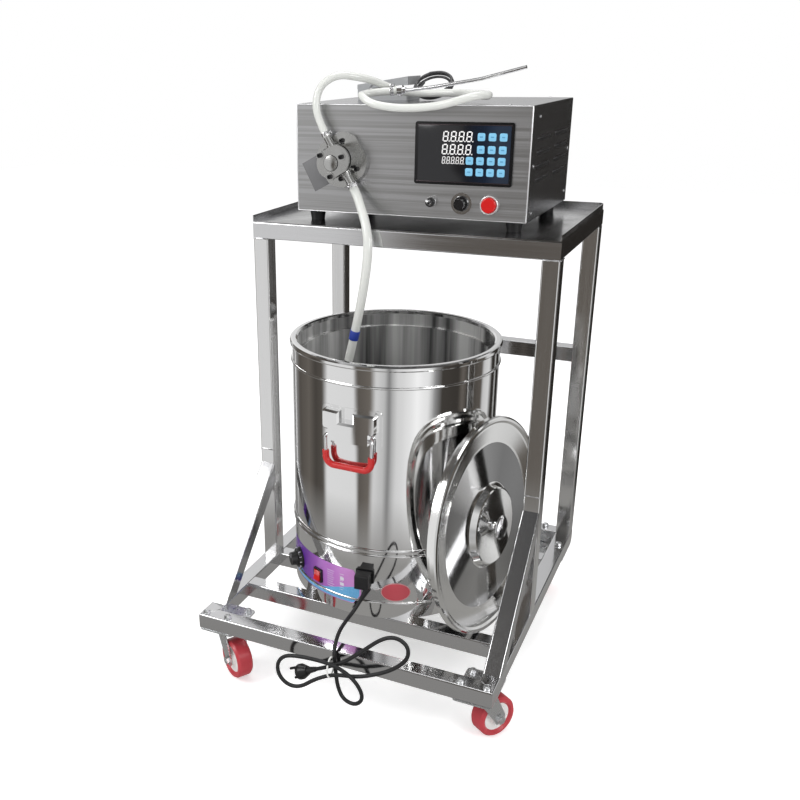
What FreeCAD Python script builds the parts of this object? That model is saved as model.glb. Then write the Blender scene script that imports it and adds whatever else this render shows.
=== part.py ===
import FreeCAD, Part
import math
import os
from FreeCAD import Vector

os.makedirs("parts", exist_ok=True)

# Candle wax melter on a cart. Millimetres. +X is right, +Y is back, +Z is up.
# The origin is on the floor under the middle of the cart's base.

# Cart
FRAME_WIDTH = 560.0
BASE_DEPTH = 628.0
TOWER_DEPTH = 372.0
CART_TOP = 819.5
CASTER_HEIGHT = 103.0
TUBE = 30.0
TUBE_WALL = 1.5
TUBE_CORNER = 2.5
SHEET = 1.5
TRAY_LIP = 12.0
TRAY_CORNER = 12.0
BRACE_RISE = 209.0
CROSS_RAIL_FRONTS = (-181.0, -48.0, 151.0)
MID_RAIL_BOTTOM = 518.0

# Casters
PLATE_LENGTH = 95.0
PLATE_WIDTH = 68.0
PLATE_THICK = 3.0
SLOT_SPACING_LONG = 75.0
SLOT_SPACING_SHORT = 45.0
SLOT_WIDTH = 8.5
SLOT_LENGTH = 11.0
WHEEL_RADIUS = 37.5
WHEEL_WIDTH = 30.0
TRAIL = 33.0
FRONT_RIGHT_TRAIL_DEG = 56.5
FRONT_LEFT_TRAIL_DEG = -33.0

# Barrel
BARREL_X = -20.0
BARREL_RADIUS = 191.0
BARREL_HEIGHT = 486.5
RIM_OVERHANG = 4.0
MOUTH_INSET = 10.0
JACKET_WIDTH = 16.0
POT_WALL = 2.0
POT_FLOOR_RISE = 72.0
LEDGE_DROP = 31.5
SKIN = 1.5
BEAD = 2.5
LOWER_BEAD_RISES = (32.0, 129.0, 139.0)
UPPER_BEAD_DROP = 39.5

# Barrel handles and controls
HANDLE_FRONT_DEG = -92.0
HANDLE_PIVOT_DROP = 132.5
HANDLE_STANDOFF = 7.0
HOUSING_DEPTH = 15.0
HOUSING_BEVEL = 3.5
BAIL_ROD = 7.0
BAIL_HALF_WIDTH = 43.0
BAIL_DROP = 56.0
GRIP_DIAMETER = 12.0
CONTROL_Z = 190.0
KNOB_DEG = -135.5
ROCKER_DEG = -114.0
INLET_DEG = -83.0
INLET_Z = 219.0

# Lid, standing on edge beside the barrel
LID_STANDOFF = 36.0
LID_CENTRE_Y = -97.7
LID_DIP = 6.8
LID_NORMAL = Vector(0.976, -0.196, 0.092)
LID_PLUG_CLEARANCE = 3.0
LID_RING_RADIUS = 75.0
LID_SKIRT = 12.0
LID_PLUG_DEPTH = 27.0
LID_CENTRE_RISE = 2.0
LID_KNOB_SEAT = 9.0

# Filling machine
CABINET_LEFT = -207.0
CABINET_RIGHT = 212.0
CABINET_FRONT = -17.7
CABINET_DEPTH = 296.5
CABINET_HEIGHT = 184.0
FOOT_HEIGHT = 18.0
DISPLAY_LEFT = 16.0
DISPLAY_RIGHT = 184.0
DISPLAY_BOTTOM = 896.0
DISPLAY_TOP = 997.0
TOGGLE_X = 46.6
SPEED_X = 100.4
PUSH_X = 149.0
CONTROLS_Z = 866.0

# Gear pump
PUMP_X = -122.5
PUMP_Z = 927.5
PUMP_TILT_DEG = 30.9
GEAR_OFFSET = 14.0
PUMP_FLANGE = 8.0
PUMP_BODY = 20.0
PUMP_COVER = 9.0
PUMP_LOBE_RADIUS = 25.0
PORT_REACH = 45.0

# Cords and hoses
HOSE_OD = 13.0
SUCTION_OD = 16.0
MAINS_OD = 7.0
FOOT_CABLE_OD = 5.0
BEND_SHARE = 0.45

# Clearances
RUN_FIT = 0.05
GAP = 0.4

# Derived levels
HALF_WIDTH = FRAME_WIDTH / 2
HALF_DEPTH = BASE_DEPTH / 2
BASE_TOP = CASTER_HEIGHT + TUBE
LEG_TOP = CART_TOP - TUBE
TOWER_FRONT = HALF_DEPTH - TOWER_DEPTH
TRAY_TOP = CART_TOP + SHEET
BARREL_TOP = BASE_TOP + BARREL_HEIGHT
RIM_RADIUS = BARREL_RADIUS + RIM_OVERHANG
RIM_INNER_RADIUS = BARREL_RADIUS - MOUTH_INSET
POT_RADIUS = BARREL_RADIUS - JACKET_WIDTH
HANDLE_PIVOT_Z = BARREL_TOP - HANDLE_PIVOT_DROP
HANDLE_REACH = BARREL_RADIUS + HANDLE_STANDOFF
HOUSING_RADIUS = BARREL_RADIUS + HOUSING_DEPTH
LID_RADIUS = RIM_RADIUS
LID_PLUG_RADIUS = RIM_INNER_RADIUS - LID_PLUG_CLEARANCE
LID_CENTRE_X = BARREL_X + BARREL_RADIUS + LID_STANDOFF
LID_CENTRE = Vector(LID_CENTRE_X, LID_CENTRE_Y, BASE_TOP + LID_RADIUS - LID_DIP)
CABINET_BOTTOM = TRAY_TOP + FOOT_HEIGHT
CABINET_TOP = CABINET_BOTTOM + CABINET_HEIGHT
CABINET_BACK = CABINET_FRONT + CABINET_DEPTH
PIVOT_X = HALF_WIDTH - PLATE_WIDTH / 2
PIVOT_Y = HALF_DEPTH - PLATE_LENGTH / 2
Z_AXIS = Vector(0, 0, 1)
ORIGIN = Vector(0, 0, 0)


def save(node, shape):
    """Write one node and print what it is made of."""
    shape.exportStep("parts/" + node + ".step")
    print(node, len(shape.Solids), "solids", round(shape.Volume / 1000.0, 2), "cm3")


def box(x0, x1, y0, y1, z0, z1):
    """A block between two corners."""
    return Part.makeBox(x1 - x0, y1 - y0, z1 - z0, Vector(x0, y0, z0))


def edges_along(shape, axis):
    """The straight edges that run along an axis."""
    found = []
    for edge in shape.Edges:
        if isinstance(edge.Curve, Part.Line):
            if abs(edge.tangentAt(edge.FirstParameter).dot(axis)) > 0.999:
                found.append(edge)
    return found


def square_tube(x0, x1, y0, y1, z0, z1, axis):
    """A hollow square tube with rounded corners, open at both ends along the axis."""
    outer = box(x0, x1, y0, y1, z0, z1)
    outer = outer.makeFillet(TUBE_CORNER, edges_along(outer, axis))
    inset = Vector(TUBE_WALL, TUBE_WALL, TUBE_WALL)
    reach = Vector(axis.x, axis.y, axis.z) * (1.0 + TUBE_WALL)
    low = Vector(x0, y0, z0) + inset - reach
    high = Vector(x1, y1, z1) - inset + reach
    inner = box(low.x, high.x, low.y, high.y, low.z, high.z)
    inner = inner.makeFillet(TUBE_CORNER - TUBE_WALL, edges_along(inner, axis))
    return outer.cut(inner)


def prism(points, direction):
    """A solid made by moving a closed polygon along a direction."""
    closed = list(points) + [points[0]]
    return Part.Face(Part.makePolygon(closed)).extrude(direction)


def mitre_x(rail, y_out, y_in, z0):
    """Cut a rail that runs along X to 45 degrees at both ends."""
    half_in = HALF_WIDTH - abs(y_out - y_in)
    corners = [Vector(-HALF_WIDTH, y_out, z0 - 1), Vector(HALF_WIDTH, y_out, z0 - 1)]
    corners = corners + [Vector(half_in, y_in, z0 - 1), Vector(-half_in, y_in, z0 - 1)]
    return rail.common(prism(corners, Vector(0, 0, TUBE + 2)))


def mitre_y(rail, side, y0, y1, z0):
    """Cut a rail that runs along Y to 45 degrees at both ends."""
    outer_x = side * HALF_WIDTH
    inner_x = side * (HALF_WIDTH - TUBE)
    corners = [Vector(outer_x, y0, z0 - 1), Vector(outer_x, y1, z0 - 1)]
    corners = corners + [Vector(inner_x, y1 - TUBE, z0 - 1), Vector(inner_x, y0 + TUBE, z0 - 1)]
    return rail.common(prism(corners, Vector(0, 0, TUBE + 2)))


def frame_rails(y0, y1, z0):
    """Four mitred tubes around a rectangle: front, rear, left, right."""
    along_x = Vector(1, 0, 0)
    along_y = Vector(0, 1, 0)
    z1 = z0 + TUBE
    front = square_tube(-HALF_WIDTH, HALF_WIDTH, y0, y0 + TUBE, z0, z1, along_x)
    rear = square_tube(-HALF_WIDTH, HALF_WIDTH, y1 - TUBE, y1, z0, z1, along_x)
    left = square_tube(-HALF_WIDTH, -HALF_WIDTH + TUBE, y0, y1, z0, z1, along_y)
    right = square_tube(HALF_WIDTH - TUBE, HALF_WIDTH, y0, y1, z0, z1, along_y)
    front = mitre_x(front, y0, y0 + TUBE, z0)
    rear = mitre_x(rear, y1, y1 - TUBE, z0)
    left = mitre_y(left, -1, y0, y1, z0)
    right = mitre_y(right, 1, y0, y1, z0)
    return front, rear, left, right


def build_base():
    """The mitred base frame and the four rails that cross the cart."""
    front, rear, left, right = frame_rails(-HALF_DEPTH, HALF_DEPTH, CASTER_HEIGHT)
    save("base_rail_front", front)
    save("base_rail_rear", rear)
    save("base_rail_left", left)
    save("base_rail_right", right)
    inner_x = HALF_WIDTH - TUBE
    along_x = Vector(1, 0, 0)
    rails = []
    for y in CROSS_RAIL_FRONTS:
        rails.append(square_tube(-inner_x, inner_x, y, y + TUBE, CASTER_HEIGHT, BASE_TOP, along_x))
    y0 = HALF_DEPTH - TUBE
    z0 = MID_RAIL_BOTTOM
    rails.append(square_tube(-inner_x, inner_x, y0, HALF_DEPTH, z0, z0 + TUBE, along_x))
    save("cross_rails", Part.makeCompound(rails))


def leg(side, y0):
    """An upright tube of the tower."""
    x0 = side * HALF_WIDTH if side < 0 else HALF_WIDTH - TUBE
    return square_tube(x0, x0 + TUBE, y0, y0 + TUBE, BASE_TOP, LEG_TOP, Z_AXIS)


def brace(side):
    """A 45 degree tube from the front leg down to the side rail."""
    x0 = side * HALF_WIDTH if side < 0 else HALF_WIDTH - TUBE
    foot_y = TOWER_FRONT - BRACE_RISE
    length = BRACE_RISE * math.sqrt(2.0) + 2 * TUBE
    tube = square_tube(x0, x0 + TUBE, -TUBE, length - TUBE, -TUBE, 0, Vector(0, 1, 0))
    tube.rotate(ORIGIN, Vector(1, 0, 0), 45)
    tube.translate(Vector(0, foot_y, BASE_TOP))
    low = Vector(x0 - 1, foot_y - TUBE, BASE_TOP)
    triangle = [low, Vector(x0 - 1, TOWER_FRONT, BASE_TOP)]
    triangle.append(Vector(x0 - 1, TOWER_FRONT, BASE_TOP + BRACE_RISE + TUBE))
    return tube.common(prism(triangle, Vector(TUBE + 2, 0, 0)))


def build_tower():
    """Four legs, the mitred top frame and the two front braces."""
    save("leg_front_left", leg(-1, TOWER_FRONT))
    save("leg_front_right", leg(1, TOWER_FRONT))
    save("leg_rear_left", leg(-1, HALF_DEPTH - TUBE))
    save("leg_rear_right", leg(1, HALF_DEPTH - TUBE))
    save("top_frame", Part.makeCompound(frame_rails(TOWER_FRONT, HALF_DEPTH, LEG_TOP)))
    save("brace_left", brace(-1))
    save("brace_right", brace(1))


def rounded_rear(block, radius):
    """Round the two upright edges at the back of a block."""
    back = block.BoundBox.YMax
    rear = [e for e in edges_along(block, Z_AXIS) if abs(e.CenterOfMass.y - back) < 0.01]
    return block.makeFillet(radius, rear)


def build_tray():
    """The sheet tray: lips at left, right and back, open at the front."""
    top = TRAY_TOP + TRAY_LIP - SHEET
    outer = box(-HALF_WIDTH, HALF_WIDTH, TOWER_FRONT, HALF_DEPTH, CART_TOP, top)
    outer = rounded_rear(outer, TRAY_CORNER)
    x1 = HALF_WIDTH - SHEET
    inner = box(-x1, x1, TOWER_FRONT - 5, HALF_DEPTH - SHEET, TRAY_TOP, top + 5)
    inner = rounded_rear(inner, TRAY_CORNER - SHEET)
    save("top_tray", outer.cut(inner))


def disc(x, y, z, radius, height):
    """An upright cylinder."""
    return Part.makeCylinder(radius, height, Vector(x, y, z))


def rod(start, direction, radius, length):
    """A cylinder from a point along a direction."""
    return Part.makeCylinder(radius, length, start, direction)


def slot(x, y, z, height):
    """A stadium that runs along Y, for a bolt slot."""
    reach = (SLOT_LENGTH - SLOT_WIDTH) / 2
    radius = SLOT_WIDTH / 2
    body = box(x - radius, x + radius, y - reach, y + reach, z, z + height)
    body = body.fuse(disc(x, y - reach, z, radius, height))
    return body.fuse(disc(x, y + reach, z, radius, height))


def caster_plate(x, y):
    """A slotted top plate, its pressed race and the kingpin under it."""
    z0 = CASTER_HEIGHT - PLATE_THICK
    half_x = PLATE_WIDTH / 2
    half_y = PLATE_LENGTH / 2
    plate = box(x - half_x, x + half_x, y - half_y, y + half_y, z0, CASTER_HEIGHT)
    plate = plate.makeFillet(6.0, edges_along(plate, Z_AXIS))
    for dx in (-SLOT_SPACING_SHORT / 2, SLOT_SPACING_SHORT / 2):
        for dy in (-SLOT_SPACING_LONG / 2, SLOT_SPACING_LONG / 2):
            plate = plate.cut(slot(x + dx, y + dy, z0 - 1, PLATE_THICK + 2))
    race = Part.makeCone(24.0, 28.0, 5.5, Vector(x, y, z0 - 5.5))
    kingpin = disc(x, y, z0 - 14.0, 6.0, 14.0)
    head = disc(x, y, z0 - 15.5, 9.0, 4.0)
    return plate.fuse(race).fuse(kingpin).fuse(head).removeSplitter()


def place_caster(shape, x, y, trail_deg):
    """Turn a caster piece drawn with its trail along +X and set it under a corner."""
    moved = shape.copy()
    moved.rotate(ORIGIN, Z_AXIS, trail_deg)
    moved.translate(Vector(x, y, 0))
    return moved


def caster_fork():
    """A pressed fork: swivel disc, two tapered legs, axle and its nuts."""
    disc_top = CASTER_HEIGHT - PLATE_THICK - 5.5 - GAP
    thick = 3.0
    inner = WHEEL_WIDTH / 2 + 2.2
    crown = disc(0, 0, disc_top - thick, 27.0, thick)
    crown = crown.fuse(box(-18, 20, -inner - thick, inner + thick, disc_top - thick, disc_top))
    fork = crown
    for side in (-1, 1):
        y0 = inner if side > 0 else -inner - thick
        points = [Vector(-18, y0, disc_top), Vector(20, y0, disc_top)]
        points = points + [Vector(TRAIL + 11, y0, WHEEL_RADIUS + 6), Vector(TRAIL + 9, y0, WHEEL_RADIUS - 9)]
        points = points + [Vector(TRAIL - 8, y0, WHEEL_RADIUS - 9), Vector(TRAIL - 14, y0, WHEEL_RADIUS + 2)]
        fork = fork.fuse(prism(points, Vector(0, thick, 0)))
    axle_half = inner + thick + 6.0
    fork = fork.fuse(rod(Vector(TRAIL, -axle_half, WHEEL_RADIUS), Vector(0, 1, 0), 5.0, 2 * axle_half))
    for start in (-axle_half + 1.0, inner + thick):
        fork = fork.fuse(hex_nut(Vector(TRAIL, start, WHEEL_RADIUS), 8.0, 5.0))
    fork = fork.cut(disc(0, 0, disc_top - thick - 1, 6.0 + RUN_FIT, thick + 2))
    return fork.removeSplitter()


def hex_nut(start, radius, thick):
    """A hexagon along +Y."""
    points = []
    for i in range(6):
        a = math.radians(60 * i)
        points.append(start + Vector(radius * math.cos(a), 0, radius * math.sin(a)))
    return prism(points, Vector(0, thick, 0))


def wheel_ring(profile):
    """Spin a profile of (radius, across) pairs about the axle line."""
    points = [Vector(TRAIL + r, y, WHEEL_RADIUS) for r, y in profile]
    face = Part.Face(Part.makePolygon(points + [points[0]]))
    return face.revolve(Vector(TRAIL, 0, WHEEL_RADIUS), Vector(0, 1, 0), 360)


def caster_hub():
    """The wheel's core, bored for the axle, with a raised boss on each side."""
    bore = 5.0 + RUN_FIT
    half = WHEEL_WIDTH / 2
    profile = [(bore, -half - 1), (12, -half - 1), (14, -half + 4), (26, -half + 4), (26, half - 4)]
    profile = profile + [(14, half - 4), (12, half + 1), (bore, half + 1)]
    return wheel_ring(profile)


def caster_tyre():
    """The tread ring, crowned at its edges."""
    half = WHEEL_WIDTH / 2
    shoulder = WHEEL_RADIUS - 3.0
    profile = [(26, -half + 4), (30, -half), (shoulder, -half), (WHEEL_RADIUS, -half + 4)]
    profile = profile + [(WHEEL_RADIUS, half - 4), (shoulder, half), (30, half), (26, half - 4)]
    return wheel_ring(profile)


def build_casters():
    """Four swivel casters; each rear one mirrors the front one across from it."""
    spots = {}
    spots["front_right"] = (PIVOT_X, -PIVOT_Y, FRONT_RIGHT_TRAIL_DEG)
    spots["front_left"] = (-PIVOT_X, -PIVOT_Y, FRONT_LEFT_TRAIL_DEG)
    spots["rear_left"] = (-PIVOT_X, PIVOT_Y, FRONT_RIGHT_TRAIL_DEG + 180)
    spots["rear_right"] = (PIVOT_X, PIVOT_Y, FRONT_LEFT_TRAIL_DEG + 180)
    fork = caster_fork()
    hub = caster_hub()
    tyre = caster_tyre()
    plates = []
    for name, (x, y, trail_deg) in spots.items():
        plates.append(caster_plate(x, y))
        save("caster_fork_" + name, place_caster(fork, x, y, trail_deg))
        save("caster_hub_" + name, place_caster(hub, x, y, trail_deg))
        save("caster_tyre_" + name, place_caster(tyre, x, y, trail_deg))
        a = math.radians(trail_deg)
        axle_x = x + TRAIL * math.cos(a)
        axle_y = y + TRAIL * math.sin(a)
        print("  axle", name, round(axle_x, 3), round(axle_y, 3), "axis", round(-math.sin(a), 5), round(math.cos(a), 5))
    save("caster_plates", Part.makeCompound(plates))


def spin(profile, x=0.0, y=0.0):
    """Spin a closed (radius, height) profile about an upright axis."""
    points = [Vector(x + r, y, z) for r, z in profile]
    face = Part.Face(Part.makePolygon(points + [points[0]]))
    return face.revolve(Vector(x, y, 0), Z_AXIS, 360)


def bead_ring(z):
    """A round bead pressed outwards around the barrel."""
    return Part.makeTorus(BARREL_RADIUS, BEAD, Vector(BARREL_X, 0, z), Z_AXIS)


def barrel_outer():
    """The barrel's outer skin: foot, beads, a flat bottom and a rolled rim."""
    inside = BARREL_RADIUS - SKIN
    shell = disc(BARREL_X, 0, BASE_TOP, BARREL_RADIUS, BARREL_TOP - 7.5 - BASE_TOP)
    for rise in LOWER_BEAD_RISES + (BARREL_HEIGHT - UPPER_BEAD_DROP,):
        shell = shell.fuse(bead_ring(BASE_TOP + rise))
    ring_low = BARREL_TOP - 7.5
    rim = [(RIM_INNER_RADIUS, ring_low), (BARREL_RADIUS, ring_low), (BARREL_RADIUS, ring_low - 2)]
    rim = rim + [(RIM_RADIUS - 1, ring_low - 2), (RIM_RADIUS, ring_low), (RIM_RADIUS, BARREL_TOP - 3)]
    rim = rim + [(RIM_RADIUS - 2, BARREL_TOP - 0.8), (RIM_RADIUS - 5, BARREL_TOP)]
    rim = rim + [(RIM_INNER_RADIUS + 3, BARREL_TOP), (RIM_INNER_RADIUS, BARREL_TOP - 2)]
    shell = shell.cut(disc(BARREL_X, 0, BASE_TOP + 8, inside, BARREL_HEIGHT))
    shell = shell.cut(disc(BARREL_X, 0, BASE_TOP - 1, BARREL_RADIUS - 8, 7.5))
    return shell.fuse(spin(rim, BARREL_X, 0)).removeSplitter()


def barrel_inner():
    """The pot that holds the wax, with the ledge that the lid's plug sits on."""
    floor = BASE_TOP + POT_FLOOR_RISE
    ledge = BARREL_TOP - LEDGE_DROP
    top = BARREL_TOP - 7.5
    outer = POT_RADIUS + POT_WALL
    neck = RIM_INNER_RADIUS + POT_WALL
    low = floor - POT_WALL
    profile = [(0, low), (outer - 16, low), (outer - 5, low + 5), (outer, low + 16)]
    profile = profile + [(outer, ledge - POT_WALL), (neck, ledge - POT_WALL), (neck, top)]
    profile = profile + [(RIM_INNER_RADIUS, top), (RIM_INNER_RADIUS, ledge), (POT_RADIUS, ledge)]
    profile = profile + [(POT_RADIUS, floor + 15), (POT_RADIUS - 4.5, floor + 4.5)]
    profile = profile + [(POT_RADIUS - 15, floor), (0, floor)]
    return spin(profile, BARREL_X, 0)


def on_barrel(shape, angle_deg):
    """Turn a piece drawn on the barrel's +X side to an angle around the barrel."""
    moved = shape.copy()
    moved.rotate(ORIGIN, Z_AXIS, angle_deg)
    moved.translate(Vector(BARREL_X, 0, 0))
    return moved


def clear_barrel(shape):
    """Cut a piece drawn on the +X side back to the barrel's round skin."""
    return shape.cut(Part.makeCylinder(BARREL_RADIUS, 900, ORIGIN))


def handle_bracket():
    """A thin backing plate and an embossed housing that the bail's ends turn in."""
    z0 = HANDLE_PIVOT_Z
    backing = Part.makeCylinder(BARREL_RADIUS + 1.5, 70, Vector(0, 0, z0 - 18))
    x0 = BARREL_RADIUS - 40
    x1 = HOUSING_RADIUS + 10
    window = box(x0, x1, -57, 57, z0 - 18, z0 + 52)
    window = window.makeFillet(10.0, edges_along(window, Vector(1, 0, 0)))
    backing = clear_barrel(backing.common(window))
    wide = box(x0, x1, -52, 52, z0 + 10, z0 + 47)
    wide = wide.makeFillet(8.0, edges_along(wide, Vector(1, 0, 0)))
    outline = wide.fuse(box(x0, x1, -38, 38, z0 - 8, z0 + 20))
    outline = outline.cut(box(x0, x1, -16, 10, z0 + 27, z0 + 60)).removeSplitter()
    housing = Part.makeCylinder(HOUSING_RADIUS, 70, Vector(0, 0, z0 - 18)).common(outline)
    edges = front_edges(housing, z0 + 9.5)
    housing = clear_barrel(housing.makeChamfer(HOUSING_BEVEL, edges))
    hole = rod(Vector(HANDLE_REACH, -60, z0), Vector(0, 1, 0), BAIL_ROD / 2 + RUN_FIT, 120)
    middle = rod(Vector(HANDLE_REACH, -26, z0), Vector(0, 1, 0), BAIL_ROD / 2 + 1, 52)
    return housing.fuse(backing).cut(hole).cut(middle).removeSplitter()


def front_edges(housing, low):
    """The edges of a housing's curved front that lie above a height."""
    found = []
    for edge in housing.Edges:
        ends = [math.hypot(v.X, v.Y) for v in edge.Vertexes]
        if min(ends) > HOUSING_RADIUS - 0.01 and edge.BoundBox.ZMin > low:
            found.append(edge)
    return found


def rounded_wire(points, radii):
    """Straight runs with a tangent arc of its own radius at each inner point."""
    edges = []
    at = points[0]
    for i in range(1, len(points) - 1):
        back = (points[i - 1] - points[i]).normalize()
        ahead = (points[i + 1] - points[i]).normalize()
        half_turn = (math.pi - back.getAngle(ahead)) / 2
        reach = radii[i - 1] * math.tan(half_turn)
        start = points[i] + back * reach
        end = points[i] + ahead * reach
        bisector = (back + ahead).normalize()
        middle = points[i] + bisector * (radii[i - 1] / math.cos(half_turn) - radii[i - 1])
        edges.append(Part.LineSegment(at, start).toShape())
        edges.append(Part.Arc(start, middle, end).toShape())
        at = end
    edges.append(Part.LineSegment(at, points[-1]).toShape())
    return Part.Wire(edges)


def sweep_round(wire, start, direction, radius):
    """A round bar swept along a wire."""
    circle = Part.Wire([Part.Circle(start, direction, radius).toShape()])
    return wire.makePipeShell([circle], True, False)


def bail_points():
    """The bail's line, hanging from its two lugs."""
    x = HANDLE_REACH
    z0 = HANDLE_PIVOT_Z
    points = [Vector(x, -26.0, z0), Vector(x, -BAIL_HALF_WIDTH - 2, z0)]
    points = points + [Vector(x, -BAIL_HALF_WIDTH, z0 - BAIL_DROP), Vector(x, BAIL_HALF_WIDTH, z0 - BAIL_DROP)]
    return points + [Vector(x, BAIL_HALF_WIDTH + 2, z0), Vector(x, 26.0, z0)]


def bail_rod(radius):
    """The bail's rod at a given radius."""
    points = bail_points()
    wire = rounded_wire(points, [6.5, 16.0, 16.0, 6.5])
    return sweep_round(wire, points[0], points[1] - points[0], radius)


def bail_grip():
    """The sleeve on the bail's lower bar and corners."""
    z0 = HANDLE_PIVOT_Z - BAIL_DROP
    x = HANDLE_REACH
    lean = 2.0 / BAIL_DROP
    high = 26.0
    points = [Vector(x, -BAIL_HALF_WIDTH - lean * high, z0 + high), Vector(x, -BAIL_HALF_WIDTH, z0)]
    points = points + [Vector(x, BAIL_HALF_WIDTH, z0), Vector(x, BAIL_HALF_WIDTH + lean * high, z0 + high)]
    wire = rounded_wire(points, [16.0, 16.0])
    sleeve = sweep_round(wire, points[0], points[1] - points[0], GRIP_DIAMETER / 2)
    return sleeve.cut(bail_rod(BAIL_ROD / 2))


def build_handles():
    """Two drop handles, at the front and the back of the barrel."""
    bracket = handle_bracket()
    bail = bail_rod(BAIL_ROD / 2)
    grip = bail_grip()
    rear_deg = HANDLE_FRONT_DEG + 180
    front_plate = on_barrel(bracket, HANDLE_FRONT_DEG)
    save("handle_brackets", Part.makeCompound([front_plate, on_barrel(bracket, rear_deg)]))
    save("bail_front", on_barrel(bail, HANDLE_FRONT_DEG))
    save("bail_rear", on_barrel(bail, rear_deg))
    save("bail_grip_front", on_barrel(grip, HANDLE_FRONT_DEG))
    save("bail_grip_rear", on_barrel(grip, rear_deg))


def thermostat_dial():
    """A flat dial seat on the round skin, with the knob's spindle."""
    seat = rod(Vector(BARREL_RADIUS - 4, 0, CONTROL_Z), Vector(1, 0, 0), 21.0, 5.5)
    spindle = rod(Vector(BARREL_RADIUS, 0, CONTROL_Z), Vector(1, 0, 0), 3.0, 13.0)
    return clear_barrel(seat).fuse(spindle)


def thermostat_knob():
    """A skirted knob with finger flutes, bored for its spindle."""
    seat_top = BARREL_RADIUS + 1.5
    axis = Vector(1, 0, 0)
    knob = Part.makeCone(17.0, 16.0, 4.0, Vector(seat_top + GAP, 0, CONTROL_Z), axis)
    knob = knob.fuse(Part.makeCone(14.5, 12.5, 18.0, Vector(seat_top + GAP, 0, CONTROL_Z), axis))
    for i in range(12):
        a = math.radians(30 * i)
        y = 15.2 * math.cos(a)
        z = CONTROL_Z + 15.2 * math.sin(a)
        knob = knob.cut(rod(Vector(seat_top + 5, y, z), axis, 2.4, 20))
    return knob.cut(rod(Vector(seat_top, 0, CONTROL_Z), axis, 3.0 + RUN_FIT, 12.0 + GAP))


def rocker_housing():
    """The rocker switch's frame, open at its front."""
    frame = box(BARREL_RADIUS - 3, BARREL_RADIUS + 4.0, -11, 11, CONTROL_Z - 15.5, CONTROL_Z + 11.5)
    frame = frame.makeFillet(1.5, edges_along(frame, Vector(1, 0, 0)))
    well = box(BARREL_RADIUS + 0.8, BARREL_RADIUS + 9, -8, 8, CONTROL_Z - 12.8, CONTROL_Z + 8.8)
    return clear_barrel(frame).cut(well)


def rocker_switch():
    """The rocker: a shallow V that tips about its middle."""
    x = BARREL_RADIUS
    mid = CONTROL_Z - 2.0
    points = [Vector(x + 2.4, -7.6, mid - 3.0), Vector(x + 4.0, -7.6, mid - 10.0)]
    points = points + [Vector(x + 8.0, -7.6, mid - 9.6), Vector(x + 5.4, -7.6, mid)]
    points = points + [Vector(x + 5.0, -7.6, mid + 10.0), Vector(x + 1.6, -7.6, mid + 10.0)]
    points = points + [Vector(x + 1.3, -7.6, mid + 3.0)]
    return prism(points, Vector(0, 15.2, 0))


def power_inlet():
    """The inlet socket's flange on the barrel."""
    flange = box(BARREL_RADIUS - 5, BARREL_RADIUS + 3, -17, 17, INLET_Z - 14, INLET_Z + 14)
    flange = flange.makeFillet(3.0, edges_along(flange, Vector(1, 0, 0)))
    return clear_barrel(flange)


def build_barrel():
    """The heated barrel and what is fixed to it."""
    save("barrel_outer", barrel_outer())
    save("barrel_inner", barrel_inner())
    save("thermostat_dial", on_barrel(thermostat_dial(), KNOB_DEG))
    save("thermostat_knob", on_barrel(thermostat_knob(), KNOB_DEG))
    save("rocker_housing", on_barrel(rocker_housing(), ROCKER_DEG))
    save("rocker_switch", on_barrel(rocker_switch(), ROCKER_DEG))
    save("power_inlet", on_barrel(power_inlet(), INLET_DEG))
    build_handles()


def place_lid(shape):
    """Stand a lid piece, drawn flat with its top up, beside the barrel."""
    moved = shape.copy()
    turn = FreeCAD.Rotation(Z_AXIS, LID_NORMAL)
    moved.Placement = FreeCAD.Placement(LID_CENTRE, turn)
    return moved


def build_lid():
    """The spun lid: rolled rim, sunk field, raised ring with a dished centre, plug and knob."""
    t = SHEET
    rim = LID_RADIUS
    ring = LID_RING_RADIUS
    top = [(rim, -LID_SKIRT), (rim, -4), (rim - 1.2, -1.2), (rim - 4, 0), (rim - 8, -0.8)]
    top = top + [(rim - 12, -3.5), (rim - 16, -4), (rim - 43, -8.5), (rim - 47, -9)]
    top = top + [(ring + 2, -6), (ring, -5), (ring - 5.5, 5), (ring - 8, 6), (ring - 15, 5.5)]
    top = top + [(LID_KNOB_SEAT, LID_CENTRE_RISE), (0, LID_CENTRE_RISE)]
    under = [(0, LID_CENTRE_RISE - t), (LID_KNOB_SEAT, LID_CENTRE_RISE - t), (ring - 15, 5.5 - t)]
    under = under + [(ring - 8.2, 4.5), (ring - 6.9, 4.2), (ring - 0.8, -7), (ring + 2, -6 - t)]
    under = under + [(rim - 47, -9 - t), (rim - 42.8, -10), (LID_PLUG_RADIUS - t, -6)]
    under = under + [(LID_PLUG_RADIUS - t, -LID_PLUG_DEPTH), (LID_PLUG_RADIUS, -LID_PLUG_DEPTH)]
    under = under + [(LID_PLUG_RADIUS, -5.7), (rim - 11, -5), (rim - 7.7, -2.4), (rim - 4, -t)]
    under = under + [(rim - 2.2, -2.6), (rim - t, -4.5), (rim - t, -LID_SKIRT)]
    save("barrel_lid", place_lid(spin(top + under)))
    seat = LID_CENTRE_RISE
    knob = [(0, seat), (LID_KNOB_SEAT, seat), (7.5, seat + 3), (8, seat + 6), (19, seat + 14)]
    knob = knob + [(21.5, seat + 15.5), (21.5, seat + 17), (19.5, seat + 18.5), (0, seat + 19.5)]
    save("lid_knob", place_lid(spin(knob)))


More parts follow.
